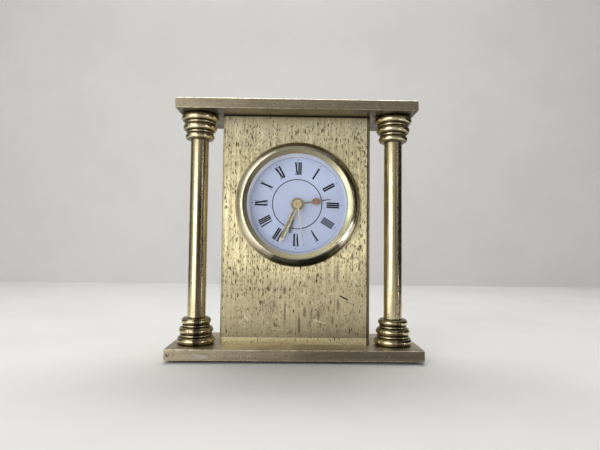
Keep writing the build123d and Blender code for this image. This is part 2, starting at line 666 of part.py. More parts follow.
# Setting arbors and knobs, worked from the back of the clock
KNOB_FRONT = MOVEMENT_REAR + 0.3
KNOB_THICKNESS = 2.0
KNOB_EDGE = 0.3
KNOB_FLUTES = 20
FLUTE_RADIUS = 0.35
TIME_KNOB_RADIUS = 4.5
ALARM_KNOB_RADIUS = 3.8
ARBOR_SEAT = 1.4

for label, teeth, module, phase, layer, place in (
    ("time_set_arbor", TIME_SET_TEETH, MOTION, time_set_phase, MINUTE_LAYER, time_set_spot),
    ("alarm_set_arbor", ALARM_SET_TEETH, ALARM, alarm_set_phase, ALARM_LAYER, alarm_set_spot),
):
    with BuildPart() as set_arbor:
        with BuildSketch(facing(layer[1], *place)):
            Polygon(*toothed(teeth, module, phase), align=None)
        extrude(amount=layer[1] - layer[0])
        with BuildSketch(facing(KNOB_FRONT + ARBOR_SEAT, *place)):
            Circle(SET_ARBOR)
        extrude(amount=KNOB_FRONT + ARBOR_SEAT - PIVOT_FRONT)
    set_arbor.part.label = label
    export_step(set_arbor.part, f"parts/{label}.step")

for label, radius, place in (
    ("time_set_knob", TIME_KNOB_RADIUS, time_set_spot),
    ("alarm_set_knob", ALARM_KNOB_RADIUS, alarm_set_spot),
):
    with BuildPart() as set_knob:
        with BuildSketch(facing(KNOB_FRONT + KNOB_THICKNESS, *place)):
            Circle(radius)
        extrude(amount=KNOB_THICKNESS)
        chamfer(set_knob.faces().sort_by(Axis.Y)[-1].edges(), length=KNOB_EDGE)
        with BuildSketch(facing(KNOB_FRONT + KNOB_THICKNESS, *place)):
            with PolarLocations(radius, KNOB_FLUTES):
                Circle(FLUTE_RADIUS)
        extrude(amount=KNOB_THICKNESS, mode=Mode.SUBTRACT)
        with BuildSketch(facing(KNOB_FRONT + ARBOR_SEAT, *place)):
            Circle(SET_ARBOR)
        extrude(amount=ARBOR_SEAT, mode=Mode.SUBTRACT)
    set_knob.part.label = label
    export_step(set_knob.part, f"parts/{label}.step")

# Hands, at the angles that they show, each pressed on its own tube
HOUR_ANGLE = 80.8
MINUTE_ANGLE = 204.2
SECOND_ANGLE = 171.0
ALARM_ANGLE = 194.9
HOUR_LENGTH = 13.6
ALARM_LENGTH = 12.0
MINUTE_LENGTH = 17.4
SECOND_LENGTH = 17.1
STEM_HALF = 0.36
TIP_HALF = 0.1
ALARM_HALF = 0.33
OVAL_HALF_WIDTH = 1.35
OVAL_HALF_LENGTH = 1.7
HOUR_OVAL_AT = 7.7
HOUR_HUB = 2.4
ALARM_HUB = 2.65
MINUTE_HUB = 1.9
MINUTE_ROOT_HALF = 0.68
MINUTE_WIDE_HALF = 0.8
MINUTE_WIDE_AT = 15.4
MINUTE_CREASE = 0.14
SECOND_ROOT_HALF = 0.38
SECOND_TIP_HALF = 0.13
CAP_RADIUS = 1.7
CAP_DEPTH = 0.45
CAP_RIM = 0.35
CAP_HOLLOW = 0.15

for label, angle, depth, length, taper_from, tip_half, hub, bore in (
    ("hour_hand", HOUR_ANGLE, HOUR_HAND_Y, HOUR_LENGTH, HOUR_OVAL_AT, TIP_HALF, HOUR_HUB, HOUR_TUBE[1]),
    ("alarm_hand", ALARM_ANGLE, ALARM_HAND_Y, ALARM_LENGTH, ALARM_HUB, ALARM_HALF, ALARM_HUB, ALARM_TUBE[1]),
):
    with BuildPart() as tube_hand:
        with BuildSketch(hand_plane(angle, depth + HAND_SHEET)):
            with BuildLine():
                Polyline(
                    (-STEM_HALF, 0),
                    (-STEM_HALF, taper_from),
                    (-tip_half, length),
                    (tip_half, length),
                    (STEM_HALF, taper_from),
                    (STEM_HALF, 0),
                    close=True,
                )
            make_face()
            if label == "hour_hand":
                with Locations((0, taper_from)):
                    Ellipse(OVAL_HALF_WIDTH, OVAL_HALF_LENGTH)
            Circle(hub)
        extrude(amount=HAND_SHEET)
        with BuildSketch(hand_plane(angle, depth + HUB_COLLAR)):
            Circle(bore + HAND_SHEET)
        extrude(amount=HUB_COLLAR)
        with BuildSketch(hand_plane(angle, depth + HUB_COLLAR)):
            Circle(bore)
        extrude(amount=HUB_COLLAR, mode=Mode.SUBTRACT)
    tube_hand.part.label = label
    export_step(tube_hand.part, f"parts/{label}.step")

with BuildPart() as minute_hand:
    minute_back = MINUTE_HAND_Y + HAND_SHEET
    blade = [
        (MINUTE_HUB - HAND_SHEET, MINUTE_ROOT_HALF, MINUTE_CREASE),
        (MINUTE_WIDE_AT, MINUTE_WIDE_HALF, MINUTE_CREASE),
        (MINUTE_LENGTH, TIP_HALF, TIP_HALF / 2),
    ]
    for start, end in zip(blade, blade[1:]):
        for along, half_width, crease in (start, end):
            turn = math.radians(MINUTE_ANGLE)
            outwards = (math.sin(turn), 0, math.cos(turn))
            across = (math.cos(turn), 0, -math.sin(turn))
            place = (DIAL_X + along * outwards[0], minute_back, DIAL_Z + along * outwards[2])
            with BuildSketch(Plane(origin=place, x_dir=across, z_dir=outwards)):
                with BuildLine():
                    Polyline(
                        (-half_width, 0),
                        (half_width, 0),
                        (half_width, HAND_SHEET / 2),
                        (0, HAND_SHEET / 2 + crease),
                        (-half_width, HAND_SHEET / 2),
                        close=True,
                    )
                make_face()
        loft(ruled=True)
    with BuildSketch(facing(minute_back)):
        Circle(MINUTE_HUB)
    extrude(amount=HAND_SHEET)
    with BuildSketch(facing(minute_back)):
        Circle(CANNON_TUBE[1])
    extrude(amount=2 * HAND_SHEET, mode=Mode.SUBTRACT)
minute_hand.part.label = "minute_hand"
export_step(minute_hand.part, "parts/minute_hand.step")

with BuildPart() as second_hand:
    with BuildSketch(hand_plane(SECOND_ANGLE, SECOND_HAND_Y + HAND_SHEET)):
        with BuildLine():
            Polyline(
                (-SECOND_ROOT_HALF, 0),
                (-SECOND_TIP_HALF, SECOND_LENGTH),
                (SECOND_TIP_HALF, SECOND_LENGTH),
                (SECOND_ROOT_HALF, 0),
                close=True,
            )
        make_face()
    extrude(amount=HAND_SHEET)
    with BuildSketch(facing(SECOND_HAND_Y + HAND_SHEET)):
        Circle(CAP_RADIUS)
    extrude(amount=HAND_SHEET + CAP_DEPTH)
    with BuildSketch(facing(SECOND_HAND_Y - CAP_DEPTH + CAP_HOLLOW)):
        Circle(CAP_RADIUS - CAP_RIM)
    extrude(amount=CAP_HOLLOW, mode=Mode.SUBTRACT)
    with BuildSketch(facing(SECOND_HAND_Y + HAND_SHEET)):
        Circle(SECONDS_ARBOR)
    extrude(amount=HAND_SHEET, mode=Mode.SUBTRACT)
second_hand.part.label = "second_hand"
export_step(second_hand.part, "parts/second_hand.step")

# Movement housings: a front tray that locates behind the panel, and a rear cup with the battery bay
BOSS_RADIUS = 25.0
BOSS_BORE = SKIRT_RADIUS + SKIRT_CLEARANCE
PANEL_BACK = PANEL_Y + SHEET
POST_RADIUS = 1.5
PEG_RADIUS = 1.2
bridge_posts = [(-15.5, -8.0), (-7.5, 16.5), (19.0, -7.5)]
stator_pegs = [(10.7, 16.0), (23.9, 12.0)]
board_pegs = [(-24.0, 10.5), (-24.0, 23.5), (-13.0, 23.5)]
BOARD_LAYER = (2.4, 3.4)
STATOR_LAYER = (3.2, 4.0)
front_pivots = [
    (third_spot, THIN_ARBOR),
    (intermediate_spot, THIN_ARBOR),
    (rotor_spot, ROTOR_ARBOR),
    (minute_spot, ARBOR),
    (time_set_spot, SET_ARBOR),
    (alarm_set_spot, SET_ARBOR),
]
PIVOT_HOLE_DEPTH = INNER_FRONT - PIVOT_FRONT + FIT

with BuildPart() as movement_front_housing:
    with BuildSketch(facing(JOINT_LINE)):
        Rectangle(MOVEMENT_SIZE, MOVEMENT_SIZE)
    extrude(amount=JOINT_LINE - MOVEMENT_FRONT)
    with BuildSketch(facing(JOINT_LINE)):
        Rectangle(2 * INNER_HALF, 2 * INNER_HALF)
    extrude(amount=JOINT_LINE - INNER_FRONT, mode=Mode.SUBTRACT)
    with BuildSketch(facing(MOVEMENT_FRONT)):
        Circle(BOSS_RADIUS)
        Circle(BOSS_BORE, mode=Mode.SUBTRACT)
    extrude(amount=MOVEMENT_FRONT - PANEL_BACK)
    with BuildSketch(facing(MOVEMENT_FRONT)):
        Circle(SKIRT_BORE - SLIDING_GAP)
    extrude(amount=DIAL_SEAT)
    with BuildSketch(facing(INNER_FRONT)):
        Circle(BUSH_BORE)
    extrude(amount=INNER_FRONT - SEAT_FRONT, mode=Mode.SUBTRACT)
    for pegs, radius, rear in (
        (bridge_posts, POST_RADIUS, BRIDGE_LAYER[0]),
        (stator_pegs, PEG_RADIUS, STATOR_LAYER[0]),
        (board_pegs, PEG_RADIUS, BOARD_LAYER[0]),
    ):
        with BuildSketch(facing(rear)):
            with Locations(*pegs):
                Circle(radius)
        extrude(amount=rear - INNER_FRONT)
    for place, arbor in front_pivots:
        with BuildSketch(facing(INNER_FRONT, *place)):
            Circle(arbor + FIT)
        extrude(amount=PIVOT_HOLE_DEPTH, mode=Mode.SUBTRACT)
movement_front_housing.part.label = "movement_front_housing"
export_step(movement_front_housing.part, "parts/movement_front_housing.step")

CELL_RADIUS = 7.25
CELL_LENGTH = 49.5
CELL_NUB_RADIUS = 2.75
CELL_NUB_LENGTH = 1.0
CELL_EDGE = 0.4
CELL_Y = INNER_FRONT + SLIDING_GAP + CELL_RADIUS
CELL_Z = -INNER_HALF + SLIDING_GAP + CELL_RADIUS
BAY_CEILING = CELL_Z + CELL_RADIUS + SLIDING_GAP
BATTERY_COVER_THICKNESS = 1.0
BATTERY_COVER_HALF = 25.4
BATTERY_COVER_TOP = BAY_CEILING + SIDE_WALL / 2
BATTERY_COVER_GAP = 0.2
BUZZER_SPOT = (-15.5, 0.0)
BUZZER_RADIUS = 9.0
BUZZER_LAYER = (10.2, 10.6)
BUZZER_SEAT = (8.2, 9.4)
SOUND_HOLE = 0.9
SOUND_CIRCLE = 4.2
SOUND_HOLES = 8
SWITCH_SPOT = (13.0, 2.0)
SWITCH_TRAVEL = 4.0
SWITCH_STEM = (4.0, 2.2)
SWITCH_PLATE = (9.0, 5.0)
SWITCH_KNOB = (5.0, 4.4)
SWITCH_PLATE_THICKNESS = 0.9
SWITCH_KNOB_THICKNESS = 1.2
SWITCH_KNOB_GAP = 0.15

with BuildPart() as movement_rear_housing:
    with BuildSketch(facing(MOVEMENT_REAR)):
        Rectangle(MOVEMENT_SIZE, MOVEMENT_SIZE)
    extrude(amount=MOVEMENT_REAR - JOINT_LINE)
    with BuildSketch(facing(INNER_REAR)):
        Rectangle(2 * INNER_HALF, 2 * INNER_HALF)
    extrude(amount=INNER_REAR - JOINT_LINE, mode=Mode.SUBTRACT)
    with BuildSketch(facing(INNER_REAR, 0, BAY_CEILING + SIDE_WALL / 2)):
        Rectangle(2 * INNER_HALF, SIDE_WALL)
    extrude(amount=INNER_REAR - INNER_FRONT)
    bay_height = BATTERY_COVER_TOP + HALF
    with BuildSketch(facing(MOVEMENT_REAR, 0, BATTERY_COVER_TOP - bay_height / 2)):
        Rectangle(2 * (BATTERY_COVER_HALF + BATTERY_COVER_GAP), bay_height)
    extrude(amount=BATTERY_COVER_THICKNESS, mode=Mode.SUBTRACT)
    mouth_height = BAY_CEILING + INNER_HALF
    with BuildSketch(facing(MOVEMENT_REAR, 0, BAY_CEILING - mouth_height / 2)):
        Rectangle(2 * BATTERY_COVER_HALF - 2 * SIDE_WALL, mouth_height)
    extrude(amount=WALL, mode=Mode.SUBTRACT)
    with BuildSketch(facing(INNER_REAR, *BUZZER_SPOT)):
        Circle(BUZZER_SEAT[1])
        Circle(BUZZER_SEAT[0], mode=Mode.SUBTRACT)
    extrude(amount=INNER_REAR - BUZZER_LAYER[1])
    with BuildSketch(facing(MOVEMENT_REAR, *BUZZER_SPOT)):
        Circle(SOUND_HOLE)
        with PolarLocations(SOUND_CIRCLE, SOUND_HOLES):
            Circle(SOUND_HOLE)
    extrude(amount=WALL, mode=Mode.SUBTRACT)
    for place in (time_set_spot, alarm_set_spot):
        with BuildSketch(facing(MOVEMENT_REAR, *place)):
            Circle(SET_ARBOR + FIT)
        extrude(amount=WALL, mode=Mode.SUBTRACT)
    slot_middle = SWITCH_SPOT[0] + SWITCH_TRAVEL / 2
    with BuildSketch(facing(MOVEMENT_REAR, slot_middle, SWITCH_SPOT[1])):
        Rectangle(SWITCH_STEM[0] + SWITCH_TRAVEL + 2 * SLIDING_GAP, SWITCH_STEM[1] + 2 * SLIDING_GAP)
    extrude(amount=WALL, mode=Mode.SUBTRACT)
movement_rear_housing.part.label = "movement_rear_housing"
export_step(movement_rear_housing.part, "parts/movement_rear_housing.step")

BRIDGE_WIDTH = 38.2
BRIDGE_HEIGHT = 28.0
BRIDGE_MIDDLE = (1.9, 4.5)

with BuildPart() as gear_bridge:
    with BuildSketch(facing(BRIDGE_LAYER[1], *BRIDGE_MIDDLE)):
        Rectangle(BRIDGE_WIDTH, BRIDGE_HEIGHT)
    extrude(amount=BRIDGE_LAYER[1] - BRIDGE_LAYER[0])
    for place, arbor in front_pivots + [((0.0, 0.0), SECONDS_ARBOR)]:
        with BuildSketch(facing(BRIDGE_LAYER[1], *place)):
            Circle(arbor + FIT)
        extrude(amount=BRIDGE_LAYER[1] - BRIDGE_LAYER[0], mode=Mode.SUBTRACT)
gear_bridge.part.label = "gear_bridge"
export_step(gear_bridge.part, "parts/gear_bridge.step")

with BuildPart() as alarm_switch:
    plate_rear = INNER_REAR - SLIDING_GAP
    knob_front = MOVEMENT_REAR + SWITCH_KNOB_GAP
    knob_rear = knob_front + SWITCH_KNOB_THICKNESS
    with BuildSketch(facing(plate_rear, *SWITCH_SPOT)):
        Rectangle(*SWITCH_PLATE)
    extrude(amount=SWITCH_PLATE_THICKNESS)
    with BuildSketch(facing(knob_rear, *SWITCH_SPOT)):
        Rectangle(*SWITCH_STEM)
    extrude(amount=knob_rear - plate_rear)
    with BuildSketch(facing(knob_rear, *SWITCH_SPOT)):
        Rectangle(*SWITCH_KNOB)
    extrude(amount=SWITCH_KNOB_THICKNESS)
    chamfer(alarm_switch.faces().sort_by(Axis.Y)[-1].edges(), length=KNOB_EDGE)
alarm_switch.part.label = "alarm_switch"
export_step(alarm_switch.part, "parts/alarm_switch.step")

# Motor and electronics
COIL_Z = 22.6
CORE_HALF = 1.0
LEFT_ARM = (9.4, 12.0)
RIGHT_ARM = (22.6, 25.2)
POLE_RADIUS = 5.2
ROTOR_GAP = 0.4
FOOT_HALF = 2.0
FLANGE_RADIUS = 3.2
WINDING_RADIUS = 2.9
BOBBIN_WALL = 0.5
BOBBIN_FLANGE = 0.6
coil_y = (STATOR_LAYER[0] + STATOR_LAYER[1]) / 2
sheet_thickness = STATOR_LAYER[1] - STATOR_LAYER[0]

with BuildPart() as stator:
    with BuildSketch(facing(STATOR_LAYER[1])):
        arm_foot = rotor_spot[1] - FOOT_HALF
        arm_head = COIL_Z + CORE_HALF
        arm_height = arm_head - arm_foot
        for near, far in (LEFT_ARM, RIGHT_ARM):
            with Locations(((near + far) / 2, (arm_head + arm_foot) / 2)):
                Rectangle(far - near, arm_height)
        with Locations(((LEFT_ARM[0] + RIGHT_ARM[1]) / 2, COIL_Z)):
            Rectangle(RIGHT_ARM[1] - LEFT_ARM[0], 2 * CORE_HALF)
        with Locations(((LEFT_ARM[0] + RIGHT_ARM[1]) / 2, rotor_spot[1])):
            Rectangle(RIGHT_ARM[1] - LEFT_ARM[0], 2 * FOOT_HALF)
        with Locations(rotor_spot):
            Circle(POLE_RADIUS)
            Circle(MAGNET_RADIUS + ROTOR_GAP, mode=Mode.SUBTRACT)
    extrude(amount=sheet_thickness)
stator.part.label = "stator"
export_step(stator.part, "parts/stator.step")

coil_start = LEFT_ARM[1] + SLIDING_GAP
coil_end = RIGHT_ARM[0] - SLIDING_GAP
coil_origin = (DIAL_X + coil_start, coil_y, DIAL_Z + COIL_Z)
along_coil = Plane(origin=coil_origin, x_dir=(0, 1, 0), z_dir=(1, 0, 0))
core_clearance = (sheet_thickness + 2 * FIT, 2 * CORE_HALF + 2 * FIT)
tube_size = (core_clearance[0] + 2 * BOBBIN_WALL, core_clearance[1] + 2 * BOBBIN_WALL)

with BuildPart() as coil_bobbin:
    with BuildSketch(along_coil):
        Rectangle(*tube_size)
    extrude(amount=coil_end - coil_start)
    for flange_at in (0.0, coil_end - coil_start - BOBBIN_FLANGE):
        with BuildSketch(along_coil.offset(flange_at)):
            Circle(FLANGE_RADIUS)
        extrude(amount=BOBBIN_FLANGE)
    with BuildSketch(along_coil):
        Rectangle(*core_clearance)
    extrude(amount=coil_end - coil_start, mode=Mode.SUBTRACT)
coil_bobbin.part.label = "coil_bobbin"
export_step(coil_bobbin.part, "parts/coil_bobbin.step")

with BuildPart() as coil_winding:
    with BuildSketch(along_coil.offset(BOBBIN_FLANGE)):
        Circle(WINDING_RADIUS)
        Rectangle(*tube_size, mode=Mode.SUBTRACT)
    extrude(amount=coil_end - coil_start - 2 * BOBBIN_FLANGE)
coil_winding.part.label = "coil_winding"
export_step(coil_winding.part, "parts/coil_winding.step")

BOARD_SIZE = (15.2, 17.0)
BOARD_MIDDLE = (-18.2, 17.2)
CHIP_SIZE = 5.0
CHIP_THICKNESS = 1.3
CHIP_SPOT = (-19.0, 13.5)
CRYSTAL_RADIUS = 1.0
CRYSTAL_LENGTH = 6.0
CRYSTAL_SPOT = (-21.0, 22.0)

with BuildPart() as circuit_board:
    with BuildSketch(facing(BOARD_LAYER[1], *BOARD_MIDDLE)):
        Rectangle(*BOARD_SIZE)
    extrude(amount=BOARD_LAYER[1] - BOARD_LAYER[0])
circuit_board.part.label = "circuit_board"
export_step(circuit_board.part, "parts/circuit_board.step")

with BuildPart() as clock_chip:
    with BuildSketch(facing(BOARD_LAYER[1] + CHIP_THICKNESS, *CHIP_SPOT)):
        Rectangle(CHIP_SIZE, CHIP_SIZE)
    extrude(amount=CHIP_THICKNESS)
clock_chip.part.label = "clock_chip"
export_step(clock_chip.part, "parts/clock_chip.step")

with BuildPart() as crystal_can:
    crystal_y = BOARD_LAYER[1] + CRYSTAL_RADIUS
    crystal_start = (DIAL_X + CRYSTAL_SPOT[0], crystal_y, DIAL_Z + CRYSTAL_SPOT[1])
    with BuildSketch(Plane(origin=crystal_start, x_dir=(0, 1, 0), z_dir=(1, 0, 0))):
        Circle(CRYSTAL_RADIUS)
    extrude(amount=CRYSTAL_LENGTH)
crystal_can.part.label = "crystal_can"
export_step(crystal_can.part, "parts/crystal_can.step")

with BuildPart() as buzzer_disc:
    with BuildSketch(facing(BUZZER_LAYER[1], *BUZZER_SPOT)):
        Circle(BUZZER_RADIUS)
    extrude(amount=BUZZER_LAYER[1] - BUZZER_LAYER[0])
buzzer_disc.part.label = "buzzer_disc"
export_step(buzzer_disc.part, "parts/buzzer_disc.step")

LEAF = 0.25
LEAF_WIDTH = 3.0
LEAF_X = 13.0
leaf_path = [(-7.0, 0.0), (-4.0, 0.0), (-1.0, 2.6), (4.0, 3.0)]

with BuildPart() as alarm_contact_spring:
    leaf_origin = (DIAL_X + LEAF_X, BRIDGE_LAYER[1], DIAL_Z)
    with BuildSketch(Plane(origin=leaf_origin, x_dir=(0, 0, 1), z_dir=(-1, 0, 0))):
        with BuildLine():
            upper = [(z, y + LEAF) for z, y in reversed(leaf_path)]
            Polyline(*leaf_path, *upper, close=True)
        make_face()
    extrude(amount=LEAF_WIDTH / 2, both=True)
alarm_contact_spring.part.label = "alarm_contact_spring"
export_step(alarm_contact_spring.part, "parts/alarm_contact_spring.step")

# Battery bay: one cell lying across the movement, its two contacts and the sliding cover
CONTACT_SHEET = 0.3
CONTACT_WIDTH = 8.0
CONTACT_HEIGHT = 10.0
CONTACT_FOOT = 0.9
bay_left = -INNER_HALF
bay_right = INNER_HALF
cell_left = bay_left + CONTACT_SHEET
cell_body_left = cell_left + CELL_NUB_LENGTH
cell_right = cell_body_left + CELL_LENGTH


def along_bay(x):
    """A plane across the battery bay, its normal to the right."""
    return Plane(origin=(DIAL_X + x, CELL_Y, DIAL_Z + CELL_Z), x_dir=(0, 1, 0), z_dir=(1, 0, 0))


with BuildPart() as battery_cell:
    with BuildSketch(along_bay(cell_body_left)):
        Circle(CELL_RADIUS)
    extrude(amount=CELL_LENGTH)
    chamfer(battery_cell.edges().filter_by(GeomType.CIRCLE), length=CELL_EDGE)
    with BuildSketch(along_bay(cell_left)):
        Circle(CELL_NUB_RADIUS)
    extrude(amount=CELL_NUB_LENGTH)
battery_cell.part.label = "battery_cell"
export_step(battery_cell.part, "parts/battery_cell.step")

with BuildPart() as battery_contact_positive:
    with BuildSketch(along_bay(bay_left)):
        Rectangle(CONTACT_WIDTH, CONTACT_HEIGHT)
    extrude(amount=CONTACT_SHEET)
battery_contact_positive.part.label = "battery_contact_positive"
export_step(battery_contact_positive.part, "parts/battery_contact_positive.step")

with BuildPart() as battery_contact_negative:
    bow = bay_right - cell_right
    half_width = CONTACT_WIDTH / 2
    foot_edge = half_width - CONTACT_FOOT
    bay_end = (DIAL_X + bay_right, CELL_Y, DIAL_Z + CELL_Z)
    with BuildSketch(Plane(origin=bay_end, x_dir=(1, 0, 0), z_dir=(0, 0, 1))):
        with BuildLine():
            bowed = [(0, -half_width), (-bow, 0), (0, half_width)]
            inner = [(0, foot_edge), (CONTACT_SHEET - bow, 0), (0, -foot_edge)]
            Polyline(*bowed, *inner, close=True)
        make_face()
    extrude(amount=CONTACT_HEIGHT / 2, both=True)
battery_contact_negative.part.label = "battery_contact_negative"
export_step(battery_contact_negative.part, "parts/battery_contact_negative.step")

COVER_GRIP_RIBS = 5
GRIP_PITCH = 1.6
GRIP_SIZE = (12.0, 0.6)
GRIP_HEIGHT = 0.3

with BuildPart() as battery_cover:
    cover_foot = -HALF + SLIDING_GAP
    cover_head = BATTERY_COVER_TOP - BATTERY_COVER_GAP
    cover_middle = (cover_foot + cover_head) / 2
    with BuildSketch(facing(MOVEMENT_REAR, 0, cover_middle)):
        Rectangle(2 * BATTERY_COVER_HALF, cover_head - cover_foot)
    extrude(amount=BATTERY_COVER_THICKNESS)
    with BuildSketch(facing(MOVEMENT_REAR, 0, cover_middle)):
        with GridLocations(0, GRIP_PITCH, 1, COVER_GRIP_RIBS):
            Rectangle(*GRIP_SIZE)
    extrude(amount=-GRIP_HEIGHT)
battery_cover.part.label = "battery_cover"
export_step(battery_cover.part, "parts/battery_cover.step")
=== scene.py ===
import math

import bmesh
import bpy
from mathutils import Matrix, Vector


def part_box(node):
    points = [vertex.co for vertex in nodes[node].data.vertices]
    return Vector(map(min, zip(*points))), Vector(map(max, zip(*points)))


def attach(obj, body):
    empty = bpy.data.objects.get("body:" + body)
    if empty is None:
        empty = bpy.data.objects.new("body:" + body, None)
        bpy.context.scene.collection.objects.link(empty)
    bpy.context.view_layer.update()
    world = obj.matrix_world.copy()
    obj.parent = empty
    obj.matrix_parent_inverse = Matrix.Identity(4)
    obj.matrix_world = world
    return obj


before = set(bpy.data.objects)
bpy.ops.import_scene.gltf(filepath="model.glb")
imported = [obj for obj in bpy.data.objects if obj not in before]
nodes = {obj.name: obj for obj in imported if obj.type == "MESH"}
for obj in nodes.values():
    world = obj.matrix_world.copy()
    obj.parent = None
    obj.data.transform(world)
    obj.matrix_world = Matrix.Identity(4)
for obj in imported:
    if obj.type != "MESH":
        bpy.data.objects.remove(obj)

# %% [markdown]
# # A brass pillar clock, dressed for the photograph
# The CAD model gives every solid its place and size. This script adds what a solid model does not
# hold: the printing on the dial, the light, and above all the finish of each metal. Old brass is
# never one colour. It is brushed, rubbed bright at its edges, dulled by fingers and peppered with
# small dark spots, and each of these is a separate step below. Some light and shade is painted into
# the colours as well, as highlights, dark reflections and shadow lines, each named where it is laid.

MM = 0.001
bpy.context.view_layer.update()

# %% [markdown]
# ## The camera
# The photograph was taken almost square to the clock. The camera's place, turn and lens were
# worked out from the corners of the plates and the edge of the bezel. A camera could also be set
# by eye, but with a fitted one a difference in the picture is a difference in the clock.

# %% Place the camera where the photograph was taken
CAMERA_PLACE = (-1.198, -188.786, 44.745)
CAMERA_TURN = (92.5878, -0.6299, -0.9254)
CAMERA_LENS = 27.06
NEAREST_SEEN = 0.01

camera_data = bpy.data.cameras.new("photo_camera")
camera_data.lens = CAMERA_LENS
camera_data.clip_start = NEAREST_SEEN
camera = bpy.data.objects.new("photo_camera", camera_data)
camera.location = Vector(CAMERA_PLACE) * MM
camera.rotation_euler = [math.radians(angle) for angle in CAMERA_TURN]
bpy.context.scene.collection.objects.link(camera)
bpy.context.scene.camera = camera
bpy.context.scene.view_settings.view_transform = "Standard"
print("camera at", [round(v, 4) for v in camera.location])

# %% [markdown]
# ## Small helpers for shader nodes
# A material is a graph of nodes. One helper adds a node, into the tree of the sockets that feed
# it, and the others use it for arithmetic, soft edges and colours, so that a material below reads
# almost like a sum.

# %% Helpers that add nodes
def fill(socket, value):
    """Links a socket to another one, or sets its constant."""
    if isinstance(value, bpy.types.NodeSocket):
        socket.id_data.links.new(value, socket)
    else:
        socket.default_value = value


def add(kind, settings=None, tree=None, **inputs):
    """Adds a node. An input is given by its name, or by an underscore and its number."""
    feeding = [value for value in inputs.values() if isinstance(value, bpy.types.NodeSocket)]
    made = (tree or feeding[0].id_data).nodes.new("ShaderNode" + kind)
    for key, value in (settings or {}).items():
        setattr(made, key, value)
    for key, value in inputs.items():
        number = key[1:]
        fill(made.inputs[int(number) if number.isdigit() else key.replace("_", " ")], value)
    return made


def calc(operation, first, second=0.0, clamp=False):
    return add("Math", {"operation": operation, "use_clamp": clamp}, _0=first, _1=second).outputs[0]


def plus(first, second):
    return calc("ADD", first, second)


def minus(first, second):
    return calc("SUBTRACT", first, second)


def times(first, second, clamp=False):
    return calc("MULTIPLY", first, second, clamp)


def total(first, *parts):
    """Adds parts to a value, each given as itself and its weight."""
    for part, weight in parts:
        first = plus(first, times(part, weight))
    return first


def larger(first, second):
    return calc("MAXIMUM", first, second)


def vector_calc(operation, first, second=(0, 0, 0)):
    return add("VectorMath", {"operation": operation}, _0=first, _1=second).outputs[0]


def axes(vector):
    return add("SeparateXYZ", Vector=vector).outputs


def stretch(vector, scale, offset=(0, 0, 0)):
    return add("Mapping", Vector=vector, Scale=scale, Location=offset).outputs[0]


print("node helpers ready")

# %% Helpers for noise, soft edges and colours
def noise(vector, scale, detail=2.0, roughness=0.5):
    return add("TexNoise", Vector=vector, Scale=scale, Detail=detail, Roughness=roughness).outputs[0]


def ramp(value, start, end, low=0.0, high=1.0):
    """Goes softly from low to high while the value goes from start to end."""
    return add("MapRange", {"interpolation_type": "SMOOTHSTEP"}, Value=value,
               From_Min=start, From_Max=end, To_Min=low, To_Max=high).outputs[0]


def shade(red, green, blue):
    return (red, green, blue, 1.0)


def blend(mask, first, second):
    """Mixes two colours, which are inputs 6 and 7 and output 2 of a mix node."""
    return add("Mix", {"data_type": "RGBA"}, _0=mask, _6=first, _7=second).outputs[2]


def coats(colour, *layers):
    """Lays coats over a colour, each given as its mask, its strength and its red, green and blue."""
    for mask, strength, coat in layers:
        if strength != 1:
            mask = times(mask, strength)
        colour = blend(mask, colour, shade(*coat))
    return colour


print("colour helpers ready")

# %% [markdown]
# A node group is an effect made once, such as brushing, that several metals then share with their
# own values. Two helpers open a group with named sockets and put one into a material.

# %% Helpers for node groups
FLOAT, VECTOR = "NodeSocketFloat", "NodeSocketVector"


def open_group(name, inputs, outputs):
    tree = bpy.data.node_groups.new(name, "ShaderNodeTree")
    for socket_name, kind, value in inputs:
        socket = tree.interface.new_socket(name=socket_name, in_out="INPUT", socket_type=kind)
        if value is not None:
            socket.default_value = value
    for socket_name, kind in outputs:
        tree.interface.new_socket(name=socket_name, in_out="OUTPUT", socket_type=kind)
    return tree, tree.nodes.new("NodeGroupInput").outputs, tree.nodes.new("NodeGroupOutput").inputs


def use(group, vector, **inputs):
    return add("Group", {"node_tree": group}, Vector=vector, **inputs).outputs


print("group helpers ready")

# %% [markdown]
# ## Brushing
# A sheet is brushed by pulling it under an abrasive belt, which leaves long fine scratches in one
# direction. Noise stretched along it gives lines of mixed length and depth. A wave texture would
# also make lines, but they would be evenly spaced, and brushing never is. The group gives a height
# for the bump and a softer tone for the colour and the gloss.

# %% The brushing group
brushing, inside, out = open_group(
    "brushing",
    [("Vector", VECTOR, None), ("Stretch", VECTOR, (1, 1, 1))],
    [("Height", FLOAT), ("Tone", FLOAT)],
)
lines = vector_calc("MULTIPLY", inside["Vector"], inside["Stretch"])
fine = noise(lines, 4.0, 3.0, 0.65)
broad = noise(lines, 1.1, 2.0, 0.5)
wide = noise(lines, 0.32, 1.0, 0.6)
mixed = total(times(fine, 0.2), (broad, 0.35), (wide, 0.45))
fill(out["Height"], fine)
fill(out["Tone"], ramp(mixed, 0.38, 0.62))
print("group:", brushing.name)

# %% [markdown]
# ## Spotting
# Lacquered brass tarnishes through pinholes in its lacquer, so it gets hundreds of small dark
# spots. On the brushed case they follow the brushing and come out long and thin. A Voronoi texture
# gives one cell per spot, and a random number in each cell decides whether that cell holds a spot
# at all and how large it is. Noise bends the coordinates first, so no spot is a clean ellipse.

# %% The spotting groups
SMALLEST_SPOT, LARGEST_SPOT = 0.45, 1.35
SPOT_CORE = 0.45
FAINTEST_SPOT = 0.4


